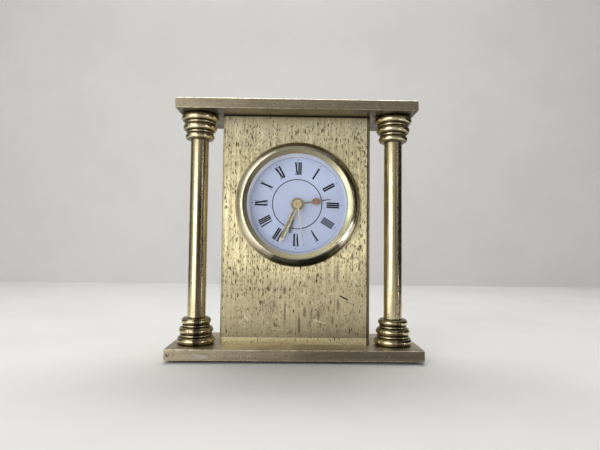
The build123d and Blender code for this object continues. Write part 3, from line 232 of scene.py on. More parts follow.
def build_spotting(name, dimensions):
    group, inside, out = open_group(
        name,
        [("Vector", VECTOR, None), ("Stretch", VECTOR, (1, 1, 1)), ("Share", FLOAT, 0.5),
         ("Size", FLOAT, 0.3), ("Raggedness", FLOAT, 0.3)],
        [("Mask", FLOAT), ("Height", FLOAT)],
    )
    bend = add("TexNoise", Vector=inside["Vector"], Scale=2.3, Detail=2.0, Roughness=0.6).outputs["Color"]
    bend = vector_calc("SUBTRACT", bend, (0.5, 0.5, 0.5))
    bend = add("VectorMath", {"operation": "SCALE"}, _0=bend, Scale=inside["Raggedness"]).outputs[0]
    cells = vector_calc("ADD", vector_calc("MULTIPLY", inside["Vector"], inside["Stretch"]), bend)
    cells = add("TexVoronoi", {"voronoi_dimensions": dimensions}, Vector=cells, Scale=1.0).outputs
    chance = add("SeparateColor", Color=cells["Color"]).outputs
    present = calc("LESS_THAN", chance[0], inside["Share"])
    reach = times(inside["Size"], ramp(chance[1], 0, 1, SMALLEST_SPOT, LARGEST_SPOT))
    spot = times(ramp(cells["Distance"], reach, times(reach, SPOT_CORE)), present)
    fill(out["Mask"], times(spot, ramp(chance[2], 0, 1, FAINTEST_SPOT)))
    fill(out["Height"], minus(1.0, spot))
    return group


spotting_round = build_spotting("spotting_round", "3D")
spotting_flat = build_spotting("spotting_flat", "2D")
print("groups:", spotting_round.name, spotting_flat.name)

# %% Lay flat spotting over every side of a box
DEPTH_SLANT = 0.6


def unrolled(mm):
    """Across and up in the first two coordinates, on a box's upright faces as well as level ones."""
    parts = axes(mm)
    across = plus(parts[0], times(parts[1], DEPTH_SLANT))
    return add("CombineXYZ", X=across, Y=plus(parts[2], parts[1])).outputs[0]


print("depth is slanted by", DEPTH_SLANT)

# %% [markdown]
# ## Patina
# Hands, damp air and polish leave cloudy patches that are a little duller or warmer than the rest.
# Two sizes of soft noise give them.

# %% The patina group
FINER = 9.0

patina, inside, out = open_group(
    "patina",
    [("Vector", VECTOR, None), ("Size", FLOAT, 8.0)],
    [("Clouds", FLOAT), ("Mottle", FLOAT)],
)
spread = calc("DIVIDE", 1.0, inside["Size"])
clouds = noise(inside["Vector"], spread, 4.0, 0.55)
mottle = noise(inside["Vector"], times(spread, FINER), 3.0, 0.6)
fill(out["Clouds"], ramp(clouds, 0.35, 0.68))
fill(out["Mottle"], ramp(mottle, 0.35, 0.65))
print("group:", patina.name)

# %% [markdown]
# ## Rubbed edges, with a painted highlight
# The sharp edges of the plates are rubbed by every hand and cloth, so they stay bright. The bright
# line is also a painted highlight, standing in for the light that the edges catch. A plate is a box,
# so its edges can be found with plain arithmetic: a point is on an edge when it is close to two of
# the box's faces at once. Noise breaks the line up, since the rubbing is never even.

# %% The rubbed edge group
NARROWEST, WIDEST = 0.3, 1.8

rubbed_and_highlit_edge, inside, out = open_group(
    "rubbed_and_highlit_edge",
    [("Vector", VECTOR, None), ("Centre", VECTOR, (0, 0, 0)), ("Half size", VECTOR, (1, 1, 1)),
     ("Width", FLOAT, 0.3)],
    [("Mask", FLOAT)],
)
away = vector_calc("ABSOLUTE", vector_calc("SUBTRACT", inside["Vector"], inside["Centre"]))
depth = axes(vector_calc("SUBTRACT", inside["Half size"], away))
nearer = calc("MINIMUM", depth[0], depth[1])
farther = larger(depth[0], depth[1])
second = larger(nearer, calc("MINIMUM", farther, depth[2]))
uneven = noise(inside["Vector"], 0.9, 4.0, 0.7)
width = times(inside["Width"], ramp(uneven, 0.3, 0.7, NARROWEST, WIDEST))
fill(out["Mask"], ramp(second, width, 0.0))
print("group:", rubbed_and_highlit_edge.name)

# %% [markdown]
# ## The start of every material
# Each material reads Object coordinates, turned into millimetres so that the numbers below are the
# real sizes of scratches and spots. The helper returns the material, its shader and that vector.

# %% Open a material
def open_material(name, roughness=0.4, metallic=0.0, **constants):
    material = bpy.data.materials.new(name)
    material.use_nodes = True
    shader = material.node_tree.nodes["Principled BSDF"]
    for key, value in {"Roughness": roughness, "Metallic": metallic, **constants}.items():
        shader.inputs[key.replace("_", " ")].default_value = value
    place = add("TexCoord", tree=material.node_tree).outputs["Object"]
    millimetres = add("VectorMath", {"operation": "SCALE"}, _0=place, Scale=1 / MM).outputs[0]
    return material, shader, millimetres


def feed(shader, **sockets):
    for key, value in sockets.items():
        fill(shader.inputs[key.replace("_", " ")], value)


def bump(shader, height, distance):
    feed(shader, Normal=add("Bump", Height=height, Distance=distance * MM).outputs[0])


print("material helpers ready")

# %% [markdown]
# ## Satin brass for the two plates
# The plates are thick flat bar, brushed along their length and dulled to a greenish grey gold.
# Their edges are rubbed bright and carry a painted highlight, and their undersides are painted in
# shade. The front carries clouds, small spots and light scratches. The base also has two pale
# smears and two small nicks at its left.

# %% Marks on the front of a plate or of the case
LINE_END, LINE_CORE = 0.6, 0.3


def line_mask(mm, start_x, start_z, end_x, end_z, width):
    """A thin straight mark between two points of a front face."""
    start, end = Vector((start_x, 0, start_z)), Vector((end_x, 0, end_z))
    along = end - start
    moved = vector_calc("SUBTRACT", mm, tuple((start + end) / 2))
    turned = add("VectorRotate", {"rotation_type": "AXIS_ANGLE"}, Vector=moved,
                 Axis=(0, 1, 0), Angle=math.atan2(along.z, along.x)).outputs[0]
    parts = axes(turned)
    half = along.length / 2
    inside = ramp(calc("ABSOLUTE", parts[0]), half, half * LINE_END)
    thin = ramp(calc("ABSOLUTE", parts[2]), width, width * LINE_CORE)
    return times(inside, thin)


def squares(first, second):
    return plus(times(first, first), times(second, second))


def patch_mask(mm, centre_x, centre_z, half_width, half_height):
    """A soft oval patch on a front face."""
    parts = axes(mm)
    across = calc("DIVIDE", minus(parts[0], centre_x), half_width)
    upright = calc("DIVIDE", minus(parts[2], centre_z), half_height)
    return ramp(squares(across, upright), 1.0, 0.0)


print("mark helpers ready")

# %% Material of the plates
EDGE_WIDTH = 0.38
DARKER_UPWARDS = (60.0, 90.0, 0.0, 0.16)
UNDERSIDE_SHADE_FROM, UNDERSIDE_SHADE_TO = 0.12, 0.03


def plate_brass(name, centre, half_size, scratches=(), pale_patches=(), nicks=()):
    material, shader, mm = open_material(name, 0.4, 1.0, Anisotropic=0.45, Anisotropic_Rotation=0.25)
    line = use(brushing, mm, Stretch=(0.16, 3.2, 3.2))
    cloud = use(patina, mm, Size=9.0)
    spots = use(spotting_flat, unrolled(mm), Stretch=(0.8, 1.3, 1.0), Share=0.4,
                Size=0.3, Raggedness=0.6)
    # Rubbed edges: bright from wear, and also a painted highlight standing in for the light they catch.
    rubbed_highlit_edge = use(rubbed_and_highlit_edge, mm, Centre=centre, Half_size=half_size, Width=EDGE_WIDTH)["Mask"]
    colour = blend(cloud["Clouds"], shade(0.37, 0.31, 0.21), shade(0.275, 0.25, 0.17))
    colour = coats(
        colour,
        (line["Tone"], 0.5, (0.52, 0.455, 0.33)),
        (cloud["Mottle"], 0.35, (0.29, 0.21, 0.155)),
        (spots["Mask"], 0.6, (0.12, 0.10, 0.06)),
    )
    broken = times(ramp(line["Height"], 0.35, 0.6), 0.75)
    for patch in pale_patches:
        colour = coats(colour, (patch_mask(mm, *patch), broken, (0.56, 0.58, 0.60)))
    for scratch in scratches:
        colour = coats(colour, (line_mask(mm, *scratch), 0.6, (0.70, 0.64, 0.48)))
    up, foot = axes(mm)[2], centre[2] - half_size[2]
    # Painted shade: each plate's underside and a hair-thin strip of front just above it are darkened.
    underside_shade = ramp(up, foot + UNDERSIDE_SHADE_FROM, foot + UNDERSIDE_SHADE_TO, 0.0, 0.85)
    dents = [line_mask(mm, *nick) for nick in nicks]
    colour = coats(
        colour,
        (rubbed_highlit_edge, 1, (0.90, 0.80, 0.60)),
        (ramp(up, *DARKER_UPWARDS), 1, (0.06, 0.05, 0.03)),
        (underside_shade, 1, (0.09, 0.075, 0.05)),
        *[(dent, 1, (0.04, 0.035, 0.02)) for dent in dents],
    )
    rough = minus(total(0.36, (cloud["Clouds"], 0.12)), times(rubbed_highlit_edge, 0.14))
    feed(shader, Base_Color=colour, Roughness=rough)
    height = total(times(line["Height"], 0.6), (spots["Height"], 0.5))
    for dent in dents:
        height = minus(height, dent)
    bump(shader, height, 0.035)
    return material


print("plate material ready")

# %% Finish both plates
def box_in_mm(node):
    low, high = (Vector(corner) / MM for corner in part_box(node))
    return tuple((low + high) / 2), tuple((high - low) / 2)


def finish_node(name, material):
    mesh = nodes[name].data
    mesh.materials.clear()
    mesh.materials.append(material)


MARKS = {
    "top_plate": {
        "scratches": [(-22.0, 101.2, -19.5, 101.0, 0.2), (12.0, 100.4, 15.0, 99.2, 0.15),
                      (30.0, 100.6, 31.4, 98.6, 0.15)],
    },
    "base_plate": {
        "scratches": [(-18.6, 4.9, -14.6, 4.95, 0.3), (-18.3, 1.6, -16.6, 4.0, 0.12),
                      (-21.8, 2.2, -20.9, 4.2, 0.12), (-20.6, 1.4, -19.9, 3.4, 0.14),
                      (35.2, 3.4, 36.4, 2.6, 0.3), (8.0, 3.2, 14.0, 3.5, 0.1)],
        "pale_patches": [(-35.2, 2.5, 3.6, 0.75), (-37.8, 3.3, 1.6, 0.35)],
        "nicks": [(-48.4, 3.7, -47.8, 2.3, 0.24), (-47.2, 3.7, -47.8, 2.3, 0.2)],
    },
}
for plate, marks in MARKS.items():
    centre, half_size = box_in_mm(plate)
    finish_node(plate, plate_brass("satin_" + plate, centre, half_size, **marks))
    print(plate, "half size in mm", [round(v, 1) for v in half_size])

# %% [markdown]
# ## Brushed brass for the case
# The front of the case is a folded sheet, brushed upright. It is paler and yellower than the
# plates. Long dark specks cover it, fewer towards its foot, where a clean strip runs. Grey smears
# run down the lower middle and one short deep scratch slants across the lower right. The shader's
# anisotropy widens its highlight across the brushing.

# %% Marks of the case
# A smear is its centre in x and z, its half width and half height, and its strength.
SMEARS = (
    (-4.2, 26.7, 1.0, 2.2, 0.7), (-4.0, 18.4, 0.5, 6.2, 0.8), (1.7, 13.4, 0.8, 5.2, 0.75),
    (1.7, 14.2, 0.7, 1.8, 0.5), (3.8, 18.0, 0.9, 2.6, 0.6), (6.7, 17.2, 0.6, 3.0, 0.5),
    (9.3, 16.9, 1.0, 2.4, 0.6), (17.2, 20.9, 0.8, 3.6, 0.75), (14.9, 14.9, 0.65, 2.8, 0.8),
    (16.9, 33.9, 0.9, 5.0, 0.6), (-9.0, 21.5, 2.6, 4.2, 0.35), (25.3, 9.3, 0.55, 1.3, 0.9),
    (22.8, 40.5, 0.7, 1.9, 0.8), (25.6, 36.4, 0.6, 2.2, 0.7), (-0.2, 30.0, 0.7, 1.3, 0.6),
    (3.9, 29.0, 0.5, 1.5, 0.6), (11.0, 19.0, 3.0, 3.0, 0.25),
)
# A scratch is the x and z of its start and of its end, and its width.
LIGHT_SCRATCHES = (
    (-15.0, 21.0, -12.2, 14.5, 0.2), (-12.6, 14.2, -10.0, 13.4, 0.2), (-5.0, 20.4, -2.6, 18.6, 0.12),
    (6.0, 22.0, 9.4, 20.6, 0.12), (-9.6, 24.0, -7.5, 22.4, 0.16), (2.0, 25.4, 5.4, 24.9, 0.16),
    (-20.5, 17.0, -18.0, 13.6, 0.3), (-19.0, 18.4, -17.6, 14.6, 0.2), (-9.8, 11.4, -1.2, 10.6, 0.22),
    (6.4, 15.4, 12.6, 13.6, 0.3), (8.0, 21.6, 15.4, 23.4, 0.2), (13.0, 25.2, 17.2, 25.6, 0.3),
    (-13.0, 20.0, -8.0, 24.5, 0.16), (-23.0, 12.0, -21.3, 14.8, 0.24), (-21.3, 14.8, -18.9, 16.1, 0.24),
    (-20.6, 12.7, -19.3, 11.3, 0.22), (-11.4, 18.2, -9.0, 19.9, 0.2), (-6.6, 8.6, -1.5, 8.7, 0.2),
    (5.7, 12.7, 8.5, 14.8, 0.24), (8.5, 14.8, 12.6, 13.0, 0.24), (7.8, 19.6, 11.2, 21.6, 0.22),
    (8.5, 22.3, 12.6, 23.7, 0.22), (3.7, 12.0, 5.7, 10.0, 0.22),
)
DARK_MARKS = (
    (25.9, 83.9, 28.0, 83.2, 0.22), (26.6, 81.4, 28.9, 80.9, 0.22), (28.2, 86.0, 28.9, 84.0, 0.25),
)
DEEP_SCRATCH = (17.5, 24.9, 21.6, 22.85, 0.42)
print(len(SMEARS), "smears and", len(LIGHT_SCRATCHES) + len(DARK_MARKS) + 1, "scratches")

# %% [markdown]
# A change from one part of the case to the next is a soft edge, given as the place in mm where it
# starts and the place where it ends. The specks come in three sizes, so they never look stamped.

# %% Soft edges and specks of the case
FOOT_STRIP = 7.9
STRIP_EDGE = (FOOT_STRIP + 0.15, FOOT_STRIP - 0.15)
FRONT_FACE, FOLD_FRONT = (-6.3, -6.6), (-5.4, -5.8)
LEFT_FOLD, RIGHT_FOLD = (-28.7, -29.0), (28.6, 28.85)
FOLD_SHADOW_START, FOLD_SHADOW_END = (28.55, 28.75), (29.3, 29.05)
LOWER_PART, UPPER_PART, SHADOW_UNDER_TOP_PLATE = (40.0, 27.0), (82.0, 93.0), (96.6, 97.3)
FEWER_SPECKS = ((96.0, 91.5, 0.1), (14.0, 36.0, 0.45), (FOOT_STRIP - 1.0, FOOT_STRIP + 1.5, 0.35))
SPECK_SIZE = 0.36

case_brass, shader, mm = open_material("brushed_case", 0.42, 1.0, Anisotropic=0.9)
x, y, z = axes(mm)
flat = add("CombineXYZ", X=plus(x, y), Y=z).outputs[0]
front = ramp(y, *FRONT_FACE)
lower = ramp(z, *LOWER_PART)
line = use(brushing, mm, Stretch=(3.4, 3.4, 0.2))
cloud = use(patina, mm, Size=14.0)
share = ramp(noise(mm, 0.10), 0.3, 0.7, 0.32, 0.78)
for start, end, fewest in FEWER_SPECKS:
    share = times(share, ramp(z, start, end, fewest))


def specks(across, up, share, raggedness):
    made = use(spotting_flat, flat, Stretch=(across, up, 1), Share=share, Size=SPECK_SIZE,
               Raggedness=raggedness)
    return made["Mask"]


long_specks = specks(1.2, 0.36, share, 0.5)
short_specks = specks(1.7, 0.62, share, 0.7)
fine_specks = specks(2.9, 1.7, 0.45, 0.9)
print("specks are", SPECK_SIZE, "of their cell, and fewer below", FOOT_STRIP, "mm")

# %% Colours of the case, from the bare brass up
colour = blend(line["Tone"], shade(0.55, 0.465, 0.26), shade(0.97, 0.885, 0.545))
colour = coats(
    colour,
    (cloud["Clouds"], 0.35, (0.47, 0.405, 0.27)),
    (lower, 0.68, (0.38, 0.32, 0.205)),
    (cloud["Mottle"], 0.30, (0.42, 0.36, 0.235)),
    (ramp(z, *STRIP_EDGE), 0.95, (0.99, 0.88, 0.54)),
    (ramp(z, *UPPER_PART, 0.0, 0.35), 1, (0.97, 0.89, 0.66)),
)
streaks = ramp(line["Tone"], 0.1, 0.9, 1.5, 0.8)
for *smear, strength in SMEARS:
    mask = times(times(patch_mask(mm, *smear), streaks), strength)
    colour = coats(colour, (times(mask, front, clamp=True), 1, (0.165, 0.135, 0.09)))
grainy = ramp(noise(stretch(mm, (1.0, 1.0, 0.6)), 2.6), 0.52, 0.66)
colour = coats(
    colour,
    (times(grainy, lower), 0.42, (0.26, 0.20, 0.14)),
    (fine_specks, 0.6, (0.25, 0.20, 0.11)),
    (short_specks, 0.95, (0.15, 0.115, 0.05)),
    (long_specks, 1, (0.12, 0.09, 0.04)),
)
faint = times(front, ramp(cloud["Mottle"], 0.2, 0.8, 0.42, 0.22))
for mark in LIGHT_SCRATCHES:
    colour = coats(colour, (line_mask(mm, *mark), faint, (0.88, 0.82, 0.68)))
print("smears, specks and light scratches laid on")

# %% Folds and deep scratches of the case
# Painted shade where the sheet folds round at its sides: light at the left, deeper at the right, with a
# dark painted shadow line at the right fold.
fold_front = ramp(y, *FOLD_FRONT)
left_fold_shade = times(ramp(x, *LEFT_FOLD, 0.0, 0.5), fold_front)
right_fold_shade = times(ramp(x, *RIGHT_FOLD, 0.0, 0.72), fold_front)
fold_shadow_line = times(ramp(x, *FOLD_SHADOW_START), ramp(x, *FOLD_SHADOW_END))
fold_shadow_line = times(times(fold_shadow_line, 0.75), fold_front)
deep = line_mask(mm, *DEEP_SCRATCH)
for mark in DARK_MARKS:
    deep = larger(deep, times(line_mask(mm, *mark), 0.85))
deep = times(deep, front)
colour = coats(
    colour,
    (left_fold_shade, 1, (0.28, 0.235, 0.15)),
    (right_fold_shade, 1, (0.13, 0.11, 0.07)),
    (fold_shadow_line, 1, (0.03, 0.025, 0.01)),
    # A painted shadow line along the top of the case, under the top plate.
    (ramp(z, *SHADOW_UNDER_TOP_PLATE), 1, (0.05, 0.04, 0.025)),
    (deep, 1, (0.03, 0.025, 0.015)),
)
dark_specks = larger(long_specks, short_specks)
feed(shader, Base_Color=colour, Roughness=total(0.39, (dark_specks, 0.22), (cloud["Clouds"], 0.06)))
height = minus(times(line["Height"], 0.7), times(dark_specks, 0.6))
bump(shader, minus(height, deep), 0.04)
for name in ("case_shell", "rear_cover"):
    finish_node(name, case_brass)
print("brushed case finished")

# %% [markdown]
# ## Polished brass for the columns
# The columns were polished on a buffing wheel, and their lacquer has since broken up into fine
# pits. The gloss is high, so the studio shows in them as upright bands. The right half of each tube
# is painted a dark brown that stands in for the dark reflection on that side, and it carries more
# pits. Just left of the middle the colour is darkened where the key lamp's highlight falls, to dim
# it. The grooves between the turned rings are darkened, partly by grime and partly as painted shade.

# %% Where the columns carry painted shade, a dimmed highlight and grime
COLUMN_PLACE = 39.7
DARK_SIDE_FROM, DARK_SIDE_TO, DARK_SIDE_DOWNWARDS = (0.0, 0.5), (3.2, 2.0), (84.0, 58.0, 0.35)
DIMMED_FROM, DIMMED_TO = (-2.4, -1.6), (0.9, 0.1)
PLATE_GAP_MIDDLE, PLATE_GAP_HALF = 51.4, 46.2
GROOVE_HEIGHTS = (0.0, 2.9, 4.0, 6.7, 7.75, 10.25)
GROOVE_EDGE = (0.5, 0.1)

column_brass, shader, mm = open_material("polished_column", 0.2, 1.0)
x, y, z = axes(mm)
cloud = use(patina, mm, Size=6.0)
across = minus(x, times(calc("SIGN", x), COLUMN_PLACE))
# Painted shade: the right half of each tube is darkened, standing in for the dark reflection there; it
# also carries more pits.
pitted_and_shaded_side = times(ramp(across, *DARK_SIDE_FROM), ramp(across, *DARK_SIDE_TO))
pitted_and_shaded_side = times(pitted_and_shaded_side, ramp(z, *DARK_SIDE_DOWNWARDS))
# Painted dimming: the colour is darkened where the key lamp's highlight runs down each tube.
dimmed_highlight = times(ramp(across, *DIMMED_FROM), ramp(across, *DIMMED_TO))
# Partly grime and partly painted shade: the grooves between the turned rings are darkened.
grime_and_groove_shade = 0.0
from_middle = calc("ABSOLUTE", minus(z, PLATE_GAP_MIDDLE))
plate_height = minus(PLATE_GAP_HALF, from_middle)
for groove in GROOVE_HEIGHTS:
    gap = calc("ABSOLUTE", minus(plate_height, groove))
    grime_and_groove_shade = larger(grime_and_groove_shade, ramp(gap, *GROOVE_EDGE))
grime_and_groove_shade = times(grime_and_groove_shade, ramp(cloud["Mottle"], 0.0, 0.8, 0.95, 0.6))
print("grime in", len(GROOVE_HEIGHTS), "grooves at each end")

# %% Material of the columns
pits = use(spotting_round, mm, Stretch=(1.5, 1.5, 1.0), Raggedness=0.9, Size=0.42,
           Share=total(0.3, (pitted_and_shaded_side, 0.6)))
turning = use(brushing, mm, Stretch=(0.25, 0.25, 4.0))
colour = blend(cloud["Clouds"], shade(0.74, 0.65, 0.41), shade(0.62, 0.52, 0.31))
colour = coats(
    colour,
    (cloud["Mottle"], 0.25, (0.50, 0.39, 0.24)),
    (dimmed_highlight, 0.35, (0.30, 0.26, 0.16)),
    (pitted_and_shaded_side, ramp(x, -5.0, 5.0, 0.95, 0.7), (0.10, 0.075, 0.05)),
    (pits["Mask"], 0.85, (0.12, 0.09, 0.05)),
    (grime_and_groove_shade, 1, (0.045, 0.04, 0.025)),
)
rough = total(0.16, (cloud["Clouds"], 0.07), (pits["Mask"], 0.2), (grime_and_groove_shade, 0.3))
feed(shader, Base_Color=colour, Roughness=rough)
bump(shader, total(times(pits["Height"], 0.6), (turning["Height"], 0.25)), 0.035)
for side in ("left", "right"):
    for piece in ("tube", "base", "capital"):
        finish_node(f"{side}_column_{piece}", column_brass)
print("both columns finished")

# %% [markdown]
# ## The bezel
# The bezel was turned on a lathe and polished. Its rounded outside and its straight inner slope
# face different ways, so one shows the dark room and the other the light. Faint rings from the
# lathe run round it, and its lacquer is clouded. Much of its light and shade is painted into its
# colour as well: dark reflections at the right and below, lighter sectors, glints and a lit band
# at the left, a shadow line round its foot on the right, and on the inner slope a highlight below,
# shade at the upper left and a darker colour that dims the lamp's reflection.

# %% Round the dial's centre
DIAL_CENTRE = (0.5, 61.3)
HOUR_ANGLE = 30


def from_dial(mm):
    """The place across and up from the dial's centre, and the distance from it."""
    parts = axes(stretch(mm, (1, 1, 1), (-DIAL_CENTRE[0], 0, -DIAL_CENTRE[1])))
    return parts[0], parts[2], calc("SQRT", squares(parts[0], parts[2]))


def dial_polar(mm):
    """The distance from the dial's centre, and the sine and cosine of the turn clockwise from 12."""
    across, up, radius = from_dial(mm)
    return radius, calc("DIVIDE", across, radius), calc("DIVIDE", up, radius)


def towards_hour(sine, cosine, hour, width):
    """A soft sector about one hour, width being the cosine at which it ends."""
    angle = math.radians(HOUR_ANGLE * hour)
    facing = plus(times(sine, math.sin(angle)), times(cosine, math.cos(angle)))
    return ramp(facing, width, 1.0)


print("dial helpers ready")

# %% Sectors and bands of the bezel
SLOPE_EDGE, OUTSIDE, OUTER_BAND, FOOT_SHADOW_RIM = (21.7, 21.9), (21.8, 22.6), (22.3, 22.9), (24.55, 24.85)
LEFT_BAND, LEFT_RIDGE = (22.25, 22.5), (22.9, 24.2)
GLINT_BAND, FOOT_BAND = (22.1, 22.4), (22.0, 22.25)

bezel_brass, shader, mm = open_material("turned_bezel", 0.15, 1.0)
radius, sine, cosine = dial_polar(mm)
rings = add("TexNoise", {"noise_dimensions": "1D"}, W=radius, Scale=6.0, Detail=3.0).outputs[0]
cloud = use(patina, mm, Size=5.0)
pits = use(spotting_round, mm, Stretch=(1.7, 1.7, 1.7), Share=0.5, Size=0.3, Raggedness=0.9)
outside = ramp(radius, *OUTSIDE)
slope = minus(1.0, ramp(radius, *SLOPE_EDGE))


def sector(hour, width):
    return towards_hour(sine, cosine, hour, width)


def blotched(low, high):
    return ramp(cloud["Mottle"], 0.2, 0.8, low, high)


# Painted dark reflection, blotched, on the outside at the right and the lower right.
dark_reflection = larger(sector(5.4, 0.35), sector(3.0, 0.55))
dark_reflection = times(times(dark_reflection, outside), blotched(0.85, 0.6))
# Painted light: the outside is lighter towards the upper left, the lower left and the top.
painted_light = larger(larger(sector(10.4, 0.8), sector(7.4, 0.88)), sector(12.0, 0.9))
dimmed_slope = larger(sector(3.1, 0.7), times(sector(1.4, 0.75), 0.75))
glints = times(larger(sector(4.05, 0.965), sector(1.1, 0.988)), 1.6, clamp=True)
dark_reflection_below = times(sector(5.9, 0.84), 3.5, clamp=True)
dark_reflection_below = times(times(dark_reflection_below, ramp(radius, *FOOT_BAND)), blotched(1.0, 0.8))
# A painted shadow line round the foot of the bezel, on its right side.
foot_shadow_line = times(ramp(radius, *FOOT_SHADOW_RIM), sector(3.9, -0.1))
left = times(sector(9.0, 0.1), outside)
left_band = times(ramp(radius, *LEFT_BAND), ramp(sector(9.0, 0.2), 0.0, 0.5))
print("the bezel's slope ends", SLOPE_EDGE[1], "mm from the dial's centre")

# %% Material of the bezel
colour = blend(cloud["Clouds"], shade(0.76, 0.68, 0.44), shade(0.66, 0.58, 0.37))
colour = coats(
    colour,
    (painted_light, outside, (1.0, 0.93, 0.74)),
    (times(sector(7.6, 0.95), 0.55), outside, (1.0, 0.72, 0.58)),
)
brown_to_grey = blend(ramp(radius, *OUTER_BAND), shade(0.26, 0.20, 0.15), shade(0.10, 0.095, 0.075))
colour = blend(dark_reflection, colour, brown_to_grey)
colour = coats(
    colour,
    (pits["Mask"], 0.6, (0.16, 0.12, 0.07)),
    # On the inner slope: darkened overall, and more at the right and upper right, to dim the lamp's
    # reflection; a painted highlight at the foot; painted shade at the upper left.
    (slope, 0.35, (0.45, 0.42, 0.27)),
    (slope, sector(5.2, 0.2), (1.0, 0.90, 0.56)),
    (times(slope, sector(10.8, -0.35)), 0.85, (0.22, 0.19, 0.12)),
    (slope, dimmed_slope, (0.31, 0.30, 0.19)),
)
# Painted light on the outside at the left: darker near the ridge to narrow its highlight, and lit further
# out.
left_painted_light = blend(ramp(radius, *LEFT_RIDGE), shade(0.44, 0.41, 0.33), shade(1.0, 0.97, 0.84))
left_painted_light = coats(left_painted_light, (pits["Height"], 0.5, (0.36, 0.31, 0.21)))
colour = blend(times(left_band, blotched(0.95, 0.75)), colour, left_painted_light)
# Painted glints at four and one o'clock, a painted dark reflection at the foot, and a painted shadow line
# round the foot at the right.
colour = coats(
    colour,
    (glints, ramp(radius, *GLINT_BAND), (1.0, 0.95, 0.88)),
    (dark_reflection_below, 1, (0.085, 0.09, 0.07)),
    (times(foot_shadow_line, 1.5, clamp=True), 1, (0.05, 0.035, 0.01)),
)
rough = total(0.13, (cloud["Clouds"], 0.09), (dark_reflection, 0.08), (left, 0.16))
feed(shader, Base_Color=colour, Roughness=rough)
bump(shader, total(times(rings, 0.3), (pits["Height"], 0.5)), 0.03)
finish_node("bezel", bezel_brass)
print("bezel finished")

# %% [markdown]
# ## The hands
# The hands are thin brass, stamped and gold plated. They are small, so their finish is plain: a
# fine grain, slightly warmer patches where the plating has worn, and a colour for each stretch. The
# two sides of each hand's crease are painted, one lit and one shaded.

# %% Material of a hand
HUB_EDGE, OVAL_EDGE = 0.08, 0.4


def hand_metal(name, angle, hub, stem, lit_and_shaded_sides, oval, tip, middle=0.3, reach=(6.2, 9.4, 11.0)):
    """Plated metal coloured along and across a hand at an angle clockwise from 12, its sides painted lit
    and shaded.
    """
    material, shader, mm = open_material(name, 0.2, 1.0)
    x, z, radius = from_dial(mm)
    sine, cosine = math.sin(math.radians(angle)), math.cos(math.radians(angle))
    along = plus(times(x, sine), times(z, cosine))
    across = minus(times(x, cosine), times(z, sine))
    cloud = use(patina, mm, Size=2.0)
    tone = use(brushing, mm, Stretch=(2.0, 2.0, 2.0))
    colour = blend(ramp(across, middle * 0.5, middle * 1.3), stem, lit_and_shaded_sides[0])
    colour = blend(ramp(across, -middle * 0.5, -middle * 1.3), colour, lit_and_shaded_sides[1])
    colour = blend(ramp(along, reach[0] - OVAL_EDGE, reach[0] + OVAL_EDGE), colour, oval)
    colour = blend(ramp(along, reach[1] - OVAL_EDGE, reach[2]), colour, tip)
    for limit, hub_colour in hub:
        colour = blend(ramp(radius, limit - HUB_EDGE, limit + HUB_EDGE), hub_colour, colour)
    colour = coats(
        colour,
        (cloud["Clouds"], 0.15, (0.30, 0.22, 0.12)),
        (tone["Tone"], 0.1, (0.90, 0.82, 0.60)),
    )
    feed(shader, Base_Color=colour, Roughness=total(0.17, (tone["Tone"], 0.12)))
    bump(shader, tone["Height"], 0.006)
    return material


print("hand material ready")

# %% Finish the four hands
OLIVE, DARK_OLIVE = shade(0.40, 0.34, 0.19), shade(0.22, 0.185, 0.10)
CREAM, GOLD = shade(0.97, 0.92, 0.70), shade(0.92, 0.73, 0.36)
RED_BROWN, BROWN = shade(0.50, 0.27, 0.16), shade(0.55, 0.42, 0.22)
CORE, GREY, SAND = shade(0.86, 0.60, 0.34), shade(0.10, 0.095, 0.09), shade(0.60, 0.52, 0.40)

# A hand is its angle, the rings of its hub from the outside in, and its stem, its two sides painted
# lit and shaded, oval and tip. The last two also say where, in mm, their sides, oval and tip begin.
HANDS = {
    "hour": (80.8, [(2.5, BROWN), (2.05, DARK_OLIVE)], OLIVE, (OLIVE, DARK_OLIVE), RED_BROWN, GREY),
    "alarm": (194.9, [(2.8, BROWN)], BROWN, (GOLD, OLIVE), DARK_OLIVE, GREY),
    "minute": (204.2, [(2.0, DARK_OLIVE)], OLIVE, (BROWN, CREAM), CREAM, CREAM, 0.3, (15.0, 16.0, 16.5)),
    "second": (171.0, [(1.8, CREAM), (1.45, GOLD), (0.8, CORE)], CREAM, (CREAM, CREAM), CREAM, SAND,
               1.25, (4.0, 9.0, 15.0)),
}
for hand, finish in HANDS.items():
    finish_node(hand + "_hand", hand_metal(hand + "_gold", *finish))
print(len(HANDS), "hands finished")

# %% [markdown]
# ## The dial and its white ring
# The dial is a cool white sheet behind the lens, and age shows as a very slight unevenness. A
# painted shadow line darkens its edge, most at the top and the foot. The ring round it is moulded in
# white plastic; its left is painted lighter as a highlight, and a painted shadow line runs in its
# crevice on the right.

# %% Material of the dial
DIAL_EDGE_SHADOW = (18.9, 19.4)

dial_white, shader, mm = open_material("dial_white", 0.5)
cloud = use(patina, mm, Size=10.0)
radius, sine, cosine = dial_polar(mm)
edge_shadow_strength = ramp(calc("ABSOLUTE", cosine), 0.2, 0.8, 0.1, 0.6)
colour = blend(cloud["Clouds"], shade(0.60, 0.68, 0.90), shade(0.54, 0.61, 0.82))
colour = coats(
    colour,
    (cloud["Mottle"], 0.12, (0.47, 0.49, 0.56)),
    # A painted shadow line at the dial's edge, strongest at the top and the foot.
    (ramp(radius, *DIAL_EDGE_SHADOW), edge_shadow_strength, (0.16, 0.17, 0.22)),
)
feed(shader, Base_Color=colour)
bump(shader, noise(mm, 7.0), 0.004)
finish_node("dial_plate", dial_white)
print("dial finished")

# %% Material of the white ring
RING_CREVICE_SHADOW = (19.85, 20.2)

